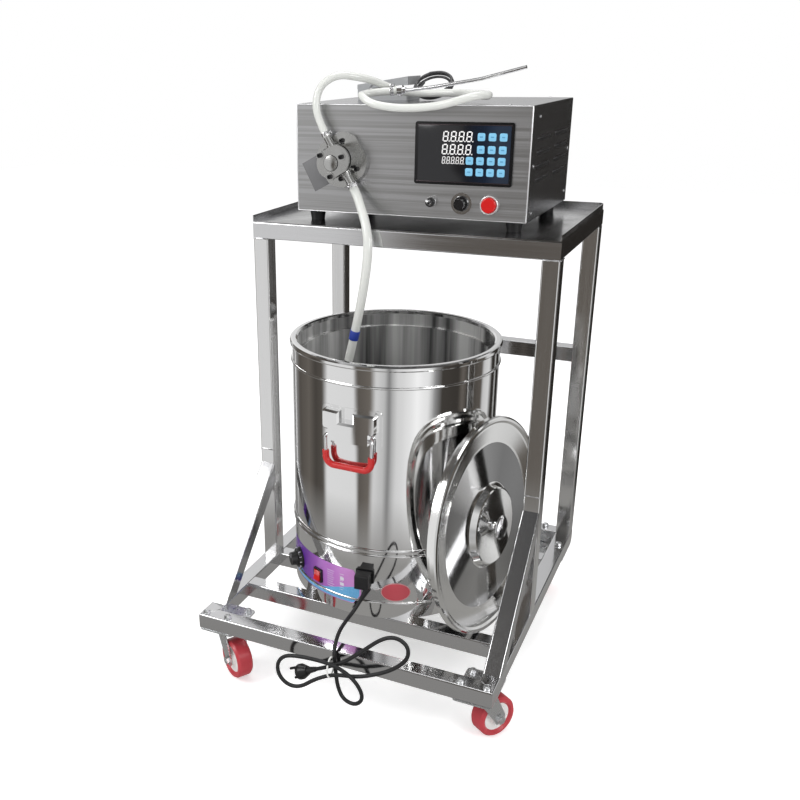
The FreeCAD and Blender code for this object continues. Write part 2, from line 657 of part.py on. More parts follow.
def build_cabinet():
    """The machine's case: a folded base with front and back, and a cover with louvres."""
    left = CABINET_LEFT
    right = CABINET_RIGHT
    front = CABINET_FRONT
    t = SHEET
    body = box(left + t, right - t, front, CABINET_BACK, CABINET_BOTTOM, CABINET_TOP - t)
    hollow = box(left, right, front + t, CABINET_BACK - t, CABINET_BOTTOM + t, CABINET_TOP)
    save("cabinet_body", body.cut(hollow))
    cover = box(left, right, front, CABINET_BACK, CABINET_BOTTOM, CABINET_TOP)
    cover = cover.makeFillet(2.0, edges_along_top_sides(cover))
    hollow = box(left + t, right - t, front - 1, CABINET_BACK + 1, CABINET_BOTTOM - 1, CABINET_TOP - t)
    cover = cover.cut(hollow)
    for y in (front + 75, front + 185):
        for i in range(4):
            z = CABINET_BOTTOM + 60 + 22 * i
            cover = cover.cut(box(right - 5, right + 5, y, y + 45, z, z + 5))
    save("cabinet_cover", cover)
    save("cabinet_feet", Part.makeCompound(cabinet_feet()))


def edges_along_top_sides(block):
    """The two top edges that run front to back."""
    top = block.BoundBox.ZMax
    return [e for e in edges_along(block, Vector(0, 1, 0)) if abs(e.CenterOfMass.z - top) < 0.01]


def cabinet_feet():
    """Four tapered rubber feet."""
    feet = []
    for x in (CABINET_LEFT + 27, CABINET_RIGHT - 27):
        for y in (CABINET_FRONT + 28, CABINET_BACK - 28):
            feet.append(Part.makeCone(12.0, 15.0, FOOT_HEIGHT, Vector(x, y, TRAY_TOP)))
    return feet


def control_bushings():
    """The fixed seats of the toggle, the speed knob and the push button."""
    out = Vector(0, -1, 0)
    face = CABINET_FRONT
    seat = rod(Vector(TOGGLE_X, face, CONTROLS_Z), out, 8.5, 2.5)
    seat = seat.fuse(rod(Vector(TOGGLE_X, face, CONTROLS_Z), out, 5.8, 8.0))
    seat = seat.cut(rod(Vector(TOGGLE_X, face - 1, CONTROLS_Z), out, 4.0, 9.0))
    dial = rod(Vector(SPEED_X, face, CONTROLS_Z), out, 18.0, 1.2)
    dial = dial.fuse(rod(Vector(SPEED_X, face, CONTROLS_Z), out, 3.0, 14.0))
    bezel = rod(Vector(PUSH_X, face, CONTROLS_Z), out, 15.5, 5.0)
    bezel = bezel.cut(rod(Vector(PUSH_X, face - 0.4, CONTROLS_Z), out, 12.5 + GAP, 6.0))
    return Part.makeCompound([seat, dial, bezel])


def toggle_lever():
    """The bat handle of the toggle, tipped upwards."""
    face = CABINET_FRONT
    pivot = Vector(TOGGLE_X, face - 4.0, CONTROLS_Z)
    lever = Part.makeSphere(3.0, pivot)
    lever = lever.fuse(Part.makeCone(1.8, 3.0, 17.0, pivot, Vector(0, -1, 0)))
    lever = lever.fuse(Part.makeSphere(3.0, pivot + Vector(0, -17.0, 0)))
    lever.rotate(pivot, Vector(1, 0, 0), -12)
    return lever


def speed_knob():
    """A skirted knob with a flat-topped cap, bored for the dial's spindle."""
    y = CABINET_FRONT - 1.2 - GAP
    out = Vector(0, -1, 0)
    knob = Part.makeCone(13.0, 12.0, 3.0, Vector(SPEED_X, y, CONTROLS_Z), out)
    knob = knob.fuse(Part.makeCone(10.0, 8.8, 15.0, Vector(SPEED_X, y, CONTROLS_Z), out))
    for i in range(10):
        a = math.radians(36 * i)
        flute = Vector(SPEED_X + 10.9 * math.cos(a), y - 4, CONTROLS_Z + 10.9 * math.sin(a))
        knob = knob.cut(rod(flute, out, 2.0, 20))
    return knob.cut(rod(Vector(SPEED_X, CABINET_FRONT, CONTROLS_Z), out, 3.0 + RUN_FIT, 14.0 + GAP))


def push_button():
    """The red cap, standing proud of its bezel with room to travel."""
    start = Vector(PUSH_X, CABINET_FRONT - 3.8, CONTROLS_Z)
    cap = rod(start, Vector(0, -1, 0), 12.5, 7.0)
    rim = [e for e in cap.Edges if abs(e.CenterOfMass.y - cap.BoundBox.YMin) < 0.01]
    return cap.makeFillet(1.5, rim)


def build_controls():
    """The display and the controls on the machine's front."""
    face = CABINET_FRONT
    panel = box(DISPLAY_LEFT, DISPLAY_RIGHT, face - 2.0, face, DISPLAY_BOTTOM, DISPLAY_TOP)
    panel = panel.makeFillet(4.0, edges_along(panel, Vector(0, 1, 0)))
    save("display_panel", panel)
    save("control_bushings", control_bushings())
    save("toggle_lever", toggle_lever())
    save("speed_knob", speed_knob())
    save("push_button", push_button())


def pump_point(along_ports, across, y):
    """A point on the pump: along its port line, across it, and out from the panel."""
    a = math.radians(PUMP_TILT_DEG)
    x = PUMP_X + across * math.cos(a) + along_ports * math.sin(a)
    z = PUMP_Z + across * math.sin(a) - along_ports * math.cos(a)
    return Vector(x, y, z)


def pump_lobe(radius, y, depth):
    """The rounded oblong that surrounds the pump's two gears."""
    out = Vector(0, -1, 0)
    lobe = rod(pump_point(0, 0, y), out, radius, depth)
    lobe = lobe.fuse(rod(pump_point(0, GEAR_OFFSET, y), out, radius, depth))
    sides = [pump_point(-radius, 0, y), pump_point(radius, 0, y)]
    sides = sides + [pump_point(radius, GEAR_OFFSET, y), pump_point(-radius, GEAR_OFFSET, y)]
    return lobe.fuse(prism(sides, out * depth))


def build_pump():
    """The gear pump: flange and lobed body, ports with barbs, and its bolted cover."""
    out = Vector(0, -1, 0)
    mid = GEAR_OFFSET / 2
    y = CABINET_FRONT
    flange = rod(pump_point(0, mid, y), out, 47.0, PUMP_FLANGE)
    corners = [pump_point(-42.5, mid - 42.5, y), pump_point(42.5, mid - 42.5, y)]
    corners = corners + [pump_point(42.5, mid + 42.5, y), pump_point(-42.5, mid + 42.5, y)]
    flange = flange.common(prism(corners, out * PUMP_FLANGE))
    body = flange.fuse(pump_lobe(PUMP_LOBE_RADIUS, y - PUMP_FLANGE, PUMP_BODY))
    port_y = y - PUMP_FLANGE - PUMP_BODY / 2
    middle = pump_point(0, mid, port_y)
    for side, radius in ((-1, HOSE_OD / 2), (1, SUCTION_OD / 2)):
        along = pump_point(side, mid, port_y) - middle
        body = body.fuse(rod(middle, along, radius + 2.0, PORT_REACH - 14.0))
        body = body.fuse(rod(middle, along, radius, PORT_REACH))
    save("pump_body", body.removeSplitter())
    cover_y = y - PUMP_FLANGE - PUMP_BODY
    cover = pump_lobe(PUMP_LOBE_RADIUS, cover_y, PUMP_COVER)
    cover = cover.fuse(rod(pump_point(0, 0, cover_y - PUMP_COVER), out, 15.0, 2.5))
    cover = cover.fuse(rod(pump_point(0, 0, cover_y - PUMP_COVER), out, 6.0, 4.0))
    for along, across in ((-17.5, -7.0), (17.5, -7.0), (-12.0, 25.0), (12.0, 25.0)):
        spot = pump_point(along, across, cover_y - PUMP_COVER)
        cover = cover.fuse(rod(spot, out, 4.0, 4.0)).cut(rod(spot + out * 2.0, out, 2.0, 3.0))
    save("pump_cover", cover.removeSplitter())


def cord(name, points, diameter):
    """A round cord: straight runs joined by tangent arcs."""
    radii = []
    runs = [(points[i + 1] - points[i]).Length for i in range(len(points) - 1)]
    for i in range(1, len(points) - 1):
        turn = (points[i] - points[i - 1]).getAngle(points[i + 1] - points[i])
        radii.append(BEND_SHARE * min(runs[i - 1], runs[i]) / math.tan(turn / 2))
    wire = rounded_wire(points, radii)
    tube = sweep_round(wire, points[0], points[1] - points[0], diameter / 2)
    print("  cord", name, "length", round(wire.Length, 1), "least radius", round(min(radii), 1))
    section = math.pi * diameter * diameter / 4
    print("  volume", round(tube.Volume), "section times length", round(section * wire.Length))
    return tube


def vectors(rows):
    """Vectors from rows of x, y, z."""
    return [Vector(x, y, z) for x, y, z in rows]


def pump_port(side):
    """Where a hose starts on one of the pump's barbs."""
    y = CABINET_FRONT - PUMP_FLANGE - PUMP_BODY / 2
    return pump_point(side * PORT_REACH, GEAR_OFFSET / 2, y)


def delivery_path():
    """From the pump's top port, over and around the machine's top, to the nozzle."""
    start = pump_port(-1)
    lead = start + (start - pump_port(0)).normalize() * 20.0
    rising = vectors([(-163, -34, 1019), (-158, -25, 1053), (-133, -8, 1071), (-105, 14, 1066)])
    back_pass = vectors([(-87, 38, 1060), (-71, 62, 1050), (-49, 84, 1039), (-14, 92, 1036)])
    back_pass = back_pass + vectors([(32, 86, 1038), (76, 70, 1037), (107, 50, 1037)])
    right_turn = vectors([(125, 30, 1037), (130, 4, 1036), (119, -21, 1038), (96, -34, 1031)])
    front_pass = vectors([(60, -31, 1022), (20, -30, 1018), (-20, -31, 1018), (-60, -31, 1024)])
    left_turn = vectors([(-84, -18, 1037), (-92, 9, 1037), (-85, 34, 1040), (-66, 50, 1041)])
    path = [start, lead] + rising + back_pass + right_turn + front_pass + left_turn
    return path + [Vector(-44, 52, 1042)]


def suction_path():
    """From the pump's bottom port, over the tray's front edge, down into the barrel."""
    start = pump_port(1)
    falling = vectors([(-71, -48, 858), (-50, -70, 828), (-41, -82, 793), (-44, -86, 746)])
    lead = start + (start - pump_port(0)).normalize() * 18.0
    return [start, lead] + falling + vectors([(-53, -85, 694), (-66, -82, 637), (-79, -78, 586)])


def mains_path():
    """From the inlet plug, over the front rail, through the tie and round three loops."""
    drop = vectors([(6, -213, 183), (-3, -220, 163), (-9, -245, 153), (-7, -284, 153), (0, -320, 141)])
    low_loop = vectors([(3, -322, 114), (5, -322, 90), (9, -323, 66), (20, -325, 46), (42, -328, 43)])
    low_loop = low_loop + vectors([(58, -331, 58), (59, -334, 80), (44, -338, 106), (14, -339, 122)])
    left_loop = vectors([(-20, -340, 125), (-58, -341, 123), (-86, -342, 117), (-101, -342, 97)])
    left_loop = left_loop + vectors([(-99, -342, 72), (-81, -342, 56), (-56, -341, 58), (-28, -337, 82)])
    right_loop = vectors([(6, -332, 99), (48, -330, 104), (92, -328, 124), (120, -326, 144)])
    right_loop = right_loop + vectors([(138, -325, 166), (138, -325, 190), (118, -326, 203)])
    right_loop = right_loop + vectors([(92, -327, 194), (56, -329, 158), (24, -330, 128)])
    return drop + low_loop + left_loop + right_loop + vectors([(-8, -330, 108), (-32, -326, 94)])


def inlet_plug(path):
    """A block plug on the inlet, with a tapered relief that faces down the cord."""
    seat = BARREL_RADIUS + 3
    block = box(seat, seat + 24, -13, 13, INLET_Z - 17, INLET_Z + 12)
    block = block.makeFillet(4.0, edges_along(block, Vector(0, 1, 0)))
    block = on_barrel(block, INLET_DEG)
    back = (path[0] - path[1]).normalize()
    relief = Part.makeCone(MAINS_OD / 2 + 0.7, 6.5, 25.0, path[0], back)
    return block.fuse(relief).removeSplitter()


def mains_plug(path):
    """A round two-pin plug with a ribbed grip and a tapered relief."""
    along = (path[-1] - path[-2]).normalize()
    plug = Part.makeCone(MAINS_OD / 2 + 0.7, 6.5, 20.0, path[-1], along)
    neck = path[-1] + along * 20.0
    plug = plug.fuse(Part.makeCone(8.0, 14.0, 14.0, neck, along))
    plug = plug.fuse(rod(neck + along * 14.0, along, 14.0, 6.0))
    across = along.cross(Vector(0, 1, 0)).normalize()
    for side in (-9.5, 9.5):
        start = neck + along * 20.0 + across * side
        plug = plug.fuse(rod(start, along, 2.4, 19.0))
    return plug.removeSplitter()


def build_nozzle(path):
    """A clamped collar on the hose's end and a thin bent steel spout."""
    start = path[-1]
    along = (path[-1] - path[-2]).normalize()
    collar = rod(start, along, 9.0, 9.0)
    collar = collar.fuse(rod(start + along * 9.0, along, 5.5, 5.0))
    spout = [start + along * 14.0, Vector(20, 52, 1048), Vector(104, 51, 1061), Vector(179, 50, 1079)]
    wire = rounded_wire(spout, [300.0, 160.0])
    tube = sweep_round(wire, spout[0], spout[1] - spout[0], 3.0)
    bore = sweep_round(wire, spout[0], spout[1] - spout[0], 2.0)
    save("nozzle", collar.fuse(tube).cut(bore).removeSplitter())


def build_foot_switch():
    """The foot switch on the machine's top: a base, a hinged pedal and its coiled cable."""
    z0 = CABINET_TOP
    x0 = -153.0
    base = box(x0, x0 + 100, 127, 193, z0, z0 + 18)
    base = base.makeFillet(5.0, edges_along(base, Z_AXIS))
    pivot = Vector(x0 + 9, 0, z0 + 12)
    pin = rod(pivot + Vector(0, 122, 0), Vector(0, 1, 0), 2.0, 76)
    save("foot_switch_base", base.fuse(pin).removeSplitter())
    points = [Vector(x0, 127, z0 + 19), Vector(x0 + 99, 127, z0 + 26)]
    points = points + [Vector(x0 + 99, 127, z0 + 41), Vector(x0, 127, z0 + 27)]
    pedal = prism(points, Vector(0, 66, 0))
    for y in (124.0, 193.5):
        cheek = [Vector(x0 + 2, y, z0 + 22), Vector(x0 + 2, y, z0 + 7), Vector(x0 + 16, y, z0 + 7)]
        cheek = cheek + [Vector(x0 + 30, y, z0 + 28)]
        pedal = pedal.fuse(prism(cheek, Vector(0, 2.5, 0)))
    for y in (124.0, 190.0):
        pedal = pedal.fuse(box(x0 + 2, x0 + 25, y, y + 6, z0 + 23, z0 + 26))
    hole = rod(pivot + Vector(0, 110, 0), Vector(0, 1, 0), 2.0 + RUN_FIT, 100)
    save("foot_pedal", pedal.cut(hole).removeSplitter())
    coil = Part.makeTorus(33.0, 6.0, ORIGIN, Z_AXIS)
    coil.rotate(ORIGIN, Vector(1, 0, 0), 35)
    coil.translate(Vector(-8, 137, z0 + 25.3))
    save("foot_cable_coil", coil)


def build_cords():
    """The two hoses, the nozzle, the mains cord and its plugs."""
    delivery = delivery_path()
    save("delivery_hose", cord("delivery", delivery, HOSE_OD))
    save("suction_hose", cord("suction", suction_path(), SUCTION_OD))
    build_nozzle(delivery)
    mains = mains_path()
    save("mains_cord", cord("mains", mains, MAINS_OD))
    save("inlet_plug", inlet_plug(mains))
    save("mains_plug", mains_plug(mains))


build_base()
build_tower()
build_tray()
build_casters()
build_barrel()
build_lid()
build_cabinet()
build_controls()
build_pump()
build_foot_switch()
build_cords()
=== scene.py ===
# %% [markdown]
# # A candle wax melter on its cart
# The solids come from the CAD frame: a cart of square steel tube, a heated barrel, its lid and a
# filling machine on the tray. This script gives them their finishes and adds what is too fine for
# the solids: cords, screws, keys, digits, weld seams and the label.

# %% Load the frame
import math

import bpy
from mathutils import Matrix, Vector


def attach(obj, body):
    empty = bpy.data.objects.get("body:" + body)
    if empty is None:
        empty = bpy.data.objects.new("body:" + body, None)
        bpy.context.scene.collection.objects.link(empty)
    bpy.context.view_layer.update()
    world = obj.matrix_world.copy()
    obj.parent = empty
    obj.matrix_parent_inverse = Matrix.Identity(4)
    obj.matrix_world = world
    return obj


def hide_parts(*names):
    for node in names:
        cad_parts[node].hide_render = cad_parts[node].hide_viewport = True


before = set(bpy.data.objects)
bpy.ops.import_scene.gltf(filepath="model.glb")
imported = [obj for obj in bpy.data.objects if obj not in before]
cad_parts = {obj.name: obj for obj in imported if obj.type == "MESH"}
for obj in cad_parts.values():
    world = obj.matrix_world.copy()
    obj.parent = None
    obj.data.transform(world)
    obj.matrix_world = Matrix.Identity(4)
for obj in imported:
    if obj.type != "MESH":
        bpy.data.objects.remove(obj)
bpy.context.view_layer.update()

print("frame holds", len(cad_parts), "nodes")


# %% Clean start
def deselect_all():
    """Nothing selected, nothing active: a new operator acts only on what it adds."""
    if bpy.context.object and bpy.context.object.mode != "OBJECT":
        bpy.ops.object.mode_set(mode="OBJECT")
    bpy.ops.object.select_all(action="DESELECT")


deselect_all()
scene = bpy.context.scene
scene.view_settings.view_transform = "Standard"
print("view transform", scene.view_settings.view_transform)

# %% [markdown]
# ## Camera
# The camera stands at the front right, a little above the barrel's rim, and looks down by about
# twenty-one degrees. A camera can be aimed with a track constraint, but a matrix built from its
# right, up and viewing directions is exact, and a small lens shift does the framing.

# %% Camera
CAMERA_PLACE = Vector((0.5779, -1.5642, 1.1007))
CAMERA_TURN = math.radians(26.52)
CAMERA_PITCH = math.radians(21.25)
CAMERA_ROLL = math.radians(-0.9)
LENS_MM = 42.18
SHIFT_X = 0.115
SHIFT_Y = 0.0256


def camera_axes(turn, pitch, roll):
    """The camera's right, up and forward directions."""
    level = math.cos(pitch)
    forward = Vector((-math.sin(turn) * level, math.cos(turn) * level, -math.sin(pitch)))
    right = Vector((math.cos(turn), math.sin(turn), 0.0))
    up = right.cross(forward)
    tilted_right = right * math.cos(roll) + up * math.sin(roll)
    tilted_up = up * math.cos(roll) - right * math.sin(roll)
    return tilted_right, tilted_up, forward


bpy.ops.object.camera_add()
camera = bpy.context.object
camera.name = "studio_camera"
right, up, forward = camera_axes(CAMERA_TURN, CAMERA_PITCH, CAMERA_ROLL)
pose = Matrix((right, up, -forward)).transposed().to_4x4()
pose.translation = CAMERA_PLACE
camera.matrix_world = pose
camera.data.lens = LENS_MM
camera.data.shift_x = SHIFT_X
camera.data.shift_y = SHIFT_Y
camera.data.clip_end = 20.0
scene.camera = camera
print("camera at", tuple(round(v, 3) for v in camera.location))

# %% [markdown]
# ## Studio
# Polished steel shows what stands around it, so the room matters more than the lamps. The world
# is white to the camera and even pale light for everything that is not a mirror. Only to
# reflections is it a room: two bright windows, dark walls between them and a pale ceiling, which
# draw the light and dark streaks that make steel read as steel. Cards of real geometry would do
# the same, but they would stand in the way of other cameras.

# %% Node helpers
def add_node(nodes, kind, operation=None, **values):
    """A new shader node with its operation and some of its input values set."""
    node = nodes.new("ShaderNode" + kind)
    if operation:
        node.operation = operation
    for name, value in values.items():
        node.inputs[name.replace("_", " ")].default_value = value
    return node


def colour_mix(nodes, **colours):
    """A node that mixes the colours A and B."""
    node = nodes.new("ShaderNodeMix")
    node.data_type = "RGBA"
    for name, colour in colours.items():
        node.inputs[name].default_value = (*colour, 1.0)
    return node


def ramp_node(nodes, stops):
    """A colour ramp through stops, each a position from 0 to 1 and a colour."""
    node = nodes.new("ShaderNodeValToRGB")
    elements = node.color_ramp.elements
    for position, _ in stops[1:-1]:
        elements.new(position)
    for element, (position, colour) in zip(elements, stops):
        element.position = position
        element.color = (*colour, 1.0)
    return node


def wire(links, *joints):
    """Join sockets: each joint names a node, its output, the next node and its input."""
    for source, output, target, into in joints:
        links.new(source.outputs[output], target.inputs[into])


def grey(level):
    """The same level for red, green and blue."""
    return (level, level, level)


# %% World
AMBIENT = 0.62
CEILING = grey(0.09)
WALL_WAVER = 0.04
ROOM = (
    (-180, 0.12), (-165, 0.06), (-155, 0.08), (-150, 0.78), (-113, 0.76), (-109, 0.10),
    (-97, 0.14), (-91, 0.70), (-80, 0.55), (-75, 0.22), (-68, 0.70), (-60, 0.76), (-45, 1.0),
    (-32, 0.85), (-24, 0.32), (-17, 0.05), (5, 0.04), (12, 0.12), (20, 0.04), (38, 0.10),
    (43, 0.60), (56, 0.70), (62, 0.03), (85, 0.015), (93, 0.55), (128, 0.85), (140, 0.35),
    (160, 0.08), (180, 0.12),
)


def warm_shade(level):
    """Grey that turns a little warm where the room is dark."""
    warmth = 0.12 if level < 0.2 else 0.0
    return (level * (1 + warmth), level, level * (1 - warmth))


def room_tone(nodes, links):
    """The room that only reflections see: streaks around the compass under a pale ceiling."""
    place = add_node(nodes, "TexCoord")
    ripple = add_node(nodes, "TexNoise", Scale=2.2)
    parts = add_node(nodes, "SeparateXYZ")
    compass = add_node(nodes, "Math", "ARCTAN2")
    turn = add_node(nodes, "MapRange", From_Min=-math.pi, From_Max=math.pi)
    turn.inputs["To Min"].default_value = -WALL_WAVER / 2
    turn.inputs["To Max"].default_value = 1 - WALL_WAVER / 2
    waver = add_node(nodes, "Math", "MULTIPLY_ADD")
    waver.inputs[1].default_value = WALL_WAVER
    bands = ramp_node(nodes, [(bearing / 360 + 0.5, warm_shade(level)) for bearing, level in ROOM])
    height = add_node(nodes, "MapRange", From_Min=0.7, From_Max=0.9)
    ceiling = colour_mix(nodes, B=CEILING)
    wire(
        links,
        (place, "Generated", ripple, "Vector"), (place, "Generated", parts, "Vector"),
        (parts, "Y", compass, 0), (parts, "X", compass, 1), (compass, "Value", turn, "Value"),
        (ripple, "Fac", waver, 0), (turn, "Result", waver, 2), (waver, "Value", bands, "Fac"),
        (parts, "Z", height, "Value"), (height, "Result", ceiling, "Factor"),
        (bands, "Color", ceiling, "A"),
    )
    return ceiling


def background(nodes, strength):
    """A white background shader of a given strength."""
    return add_node(nodes, "Background", Color=(1.0, 1.0, 1.0, 1.0), Strength=strength)


def studio_world(ambient):
    """White to the camera, a streaked room to reflections and pale light to the rest."""
    world = bpy.data.worlds.new("studio_world")
    scene.world = world
    world.use_nodes = True
    nodes = world.node_tree.nodes
    links = world.node_tree.links
    nodes.clear()
    path = add_node(nodes, "LightPath")
    soft = background(nodes, ambient)
    room = background(nodes, 1.0)
    white = background(nodes, 1.0)
    for_metal = add_node(nodes, "MixShader")
    for_camera = add_node(nodes, "MixShader")
    wire(
        links,
        (room_tone(nodes, links), "Result", room, "Color"),
        (path, "Is Glossy Ray", for_metal, "Fac"), (soft, "Background", for_metal, 1),
        (room, "Background", for_metal, 2), (path, "Is Camera Ray", for_camera, "Fac"),
        (for_metal, "Shader", for_camera, 1), (white, "Background", for_camera, 2),
        (for_camera, "Shader", add_node(nodes, "OutputWorld"), "Surface"),
    )


studio_world(AMBIENT)
print("room has", len(ROOM), "tones around the compass")


# %% Lamps
def soft_lamp(name, place, aim, size, watts):
    """A square area lamp aimed at a point."""
    deselect_all()
    bpy.ops.object.light_add(type="AREA", location=place)
    lamp = bpy.context.object
    lamp.name = name
    lamp.data.shape = "SQUARE"
    lamp.data.size = size
    lamp.data.energy = watts
    lamp.rotation_euler = (Vector(aim) - Vector(place)).to_track_quat("-Z", "Y").to_euler()


MIDDLE = (0.0, 0.0, 0.5)
soft_lamp("lamp_left", (-1.9, -1.8, 2.3), MIDDLE, 1.3, 38)
soft_lamp("lamp_right", (2.4, -1.2, 1.7), MIDDLE, 1.0, 22)
soft_lamp("lamp_top", (0.0, 0.4, 3.0), MIDDLE, 1.6, 26)
print("three lamps")


# %% Materials: one shader with plain constants
def plain_material(name, colour, metallic, roughness, coat=0.0):
    """A Principled material whose constants sit on the shader's own sockets."""
    material = bpy.data.materials.new(name)
    material.use_nodes = True
    shader = material.node_tree.nodes["Principled BSDF"]
    shader.inputs["Base Color"].default_value = (*colour, 1.0)
    shader.inputs["Metallic"].default_value = metallic
    shader.inputs["Roughness"].default_value = roughness
    shader.inputs["Coat Weight"].default_value = coat
    return material


def tree_of(material):
    """A material's nodes, its links and its shader."""
    tree = material.node_tree
    return tree.nodes, tree.links, tree.nodes["Principled BSDF"]


def stretched(nodes, links, scale):
    """The place in metres, stretched: scale is the cells per metre along X, Y and Z."""
    stretch = add_node(nodes, "Mapping", Scale=scale)
    wire(links, (add_node(nodes, "TexCoord"), "Object", stretch, "Vector"))
    return stretch

# %% [markdown]
# ## Grain
# Brushed sheet has fine parallel scratches, and even moulded plastic has a slight unevenness.
# Both are noise: stretched along one axis for brushing, even in all directions for a moulded
# skin. One node group makes both, and each finish chooses how far to stretch it.

# %% Grain group
def grain_group():
    """Noise in, a roughness between two limits and a height for the bump out."""
    group = bpy.data.node_groups.new("surface_grain", "ShaderNodeTree")
    for name, way, kind in (
        ("Vector", "INPUT", "Vector"), ("Smooth", "INPUT", "Float"), ("Rough", "INPUT", "Float"),
        ("Roughness", "OUTPUT", "Float"), ("Height", "OUTPUT", "Float"),
    ):
        group.interface.new_socket(name, in_out=way, socket_type="NodeSocket" + kind)
    start = group.nodes.new("NodeGroupInput")
    noise = add_node(group.nodes, "TexNoise", Scale=1.0, Detail=3.0)
    spread = add_node(group.nodes, "MapRange", From_Min=0.3, From_Max=0.7)
    end = group.nodes.new("NodeGroupOutput")
    wire(
        group.links,
        (start, "Vector", noise, "Vector"), (noise, "Fac", spread, "Value"),
        (start, "Smooth", spread, "To Min"), (start, "Rough", spread, "To Max"),
        (spread, "Result", end, "Roughness"), (noise, "Fac", end, "Height"),
    )
    return group


GRAIN = grain_group()
RELIEF_DEPTH = 0.0005
EVEN = (400, 400, 400)


def grained(name, colour, metallic, smooth, rough, bump, scale=EVEN, coat=0.0):
    """A finish with grain: scale is the noise's cells per metre along X, Y and Z."""
    material = plain_material(name, colour, metallic, (smooth + rough) / 2, coat)
    nodes, links, shader = tree_of(material)
    grain = add_node(nodes, "Group")
    grain.node_tree = GRAIN
    grain.inputs["Smooth"].default_value = smooth
    grain.inputs["Rough"].default_value = rough
    relief = add_node(nodes, "Bump", Strength=bump, Distance=RELIEF_DEPTH)
    wire(
        links,
        (stretched(nodes, links, scale), "Vector", grain, "Vector"),
        (grain, "Roughness", shader, "Roughness"), (grain, "Height", relief, "Height"),
        (relief, "Normal", shader, "Normal"),
    )
    return material


STEEL = (0.72, 0.72, 0.73)
along_x = (6, 900, 900)
along_y = (900, 6, 900)
along_z = (900, 900, 6)
steel_x = grained("cart_steel_crosswise", STEEL, 1.0, 0.08, 0.16, 0.02, along_x)
steel_y = grained("cart_steel_lengthwise", STEEL, 1.0, 0.08, 0.16, 0.02, along_y)
# The legs are a lighter copy of the cart steel: painted light.
steel_z_painted_light = grained("cart_steel_upright_painted_light", grey(0.82), 1.0, 0.08, 0.16, 0.02, along_z)
# The braces are a darker copy of the cart steel: painted shade.
brace_steel_painted_shade = grained("brace_steel_painted_shade", (0.52, 0.52, 0.53), 1.0, 0.1, 0.2, 0.03, along_y)
barrel_steel = grained("barrel_steel", grey(0.87), 1.0, 0.04, 0.08, 0.01, (500, 500, 5))
cover_steel = grained("cover_steel", (0.44, 0.44, 0.45), 1.0, 0.2, 0.26, 0.004, along_y)
bright_steel = grained("bright_steel", (0.82, 0.82, 0.83), 1.0, 0.06, 0.12, 0.01)
pump_steel = grained("pump_steel", (0.50, 0.50, 0.49), 1.0, 0.16, 0.3, 0.01, (60, 60, 60))
zinc = grained("bright_zinc", (0.78, 0.79, 0.8), 1.0, 0.22, 0.36, 0.05, (120, 120, 120))
hub_white = grained("hub_white_plastic", (0.82, 0.82, 0.8), 0.0, 0.38, 0.5, 0.03)
tread_red = grained("tread_red", (0.52, 0.045, 0.06), 0.0, 0.3, 0.45, 0.06, (250, 250, 250))
moulded = (600, 600, 600)
black_plastic = grained("black_plastic", (0.012, 0.012, 0.013), 0.0, 0.28, 0.42, 0.08, moulded)
red_gloss = grained("red_gloss", (0.6, 0.012, 0.012), 0.0, 0.12, 0.2, 0.02, coat=0.4)
grip_red = grained("grip_red", (0.55, 0.02, 0.02), 0.0, 0.32, 0.45, 0.05)
black_rubber = grained("black_rubber", (0.014, 0.014, 0.015), 0.0, 0.45, 0.6, 0.06)
screen_black = grained("screen_black", (0.006, 0.006, 0.007), 0.0, 0.08, 0.14, 0.01, coat=0.3)
knob_gloss = grained("knob_gloss", (0.01, 0.01, 0.011), 0.0, 0.08, 0.16, 0.02, coat=0.5)
switch_grey = grained("switch_grey", (0.42, 0.43, 0.44), 0.3, 0.3, 0.42, 0.05)


def streaked(name, dark, pale, metallic, roughness, scale):
    """Steel whose base colour runs in long soft streaks between a dark and a pale grey."""
    material = grained(name, pale, metallic, roughness, roughness + 0.08, 0.01, scale)
    nodes, links, shader = tree_of(material)
    noise = add_node(nodes, "TexNoise", Scale=1.0, Detail=4.0)
    tone = ramp_node(nodes, [(0.42, dark), (0.60, pale)])
    wire(
        links,
        (stretched(nodes, links, scale), "Vector", noise, "Vector"),
        (noise, "Fac", tone, "Fac"), (tone, "Color", shader, "Base Color"),
    )
    return material


case_steel = streaked("case_steel", grey(0.43), (0.53, 0.53, 0.54), 1.0, 0.28, (2, 260, 260))
# On the pot the streaks, from near black to white, are painted reflections.
pot_steel_painted_reflections = streaked("pot_steel_painted_reflections", grey(0.12), (1.0, 1.0, 0.99), 0.58, 0.14, (19, 19, 0.6))
tray_steel = streaked("tray_steel", grey(0.34), (0.78, 0.78, 0.79), 1.0, 0.15, (7, 7, 90))
print("streaked finishes: case, pot and tray")

# %% [markdown]
# ## The lid's flat: a painted sheen
# Sheet that was turned on a lathe has fine rings, and they gather the light into sectors that
# meet at the axis. Here that light is painted: a ramp gives each bearing about the lid's own axis
# a level of grey in the base colour, a painted reflection in sectors. It only counts between the
# hub and the rim, where the lid is flat.

# %% The lid's flat: painted sheen
MM = 0.001
LID_CENTRE = Vector((207.0, -97.7, 321.2)) * MM
LID_NORMAL = Vector((0.976, -0.196, 0.092)).normalized()
LID_FLAT_MIDDLE = 0.113
LID_FLAT_HALF = 0.035
LID_SHEEN = (
    (-180, 0.36), (-125, 0.55), (-80, 0.45), (-35, 0.22), (60, 0.20), (95, 0.36), (115, 0.85),
    (135, 0.64), (150, 0.32), (180, 0.36),
)


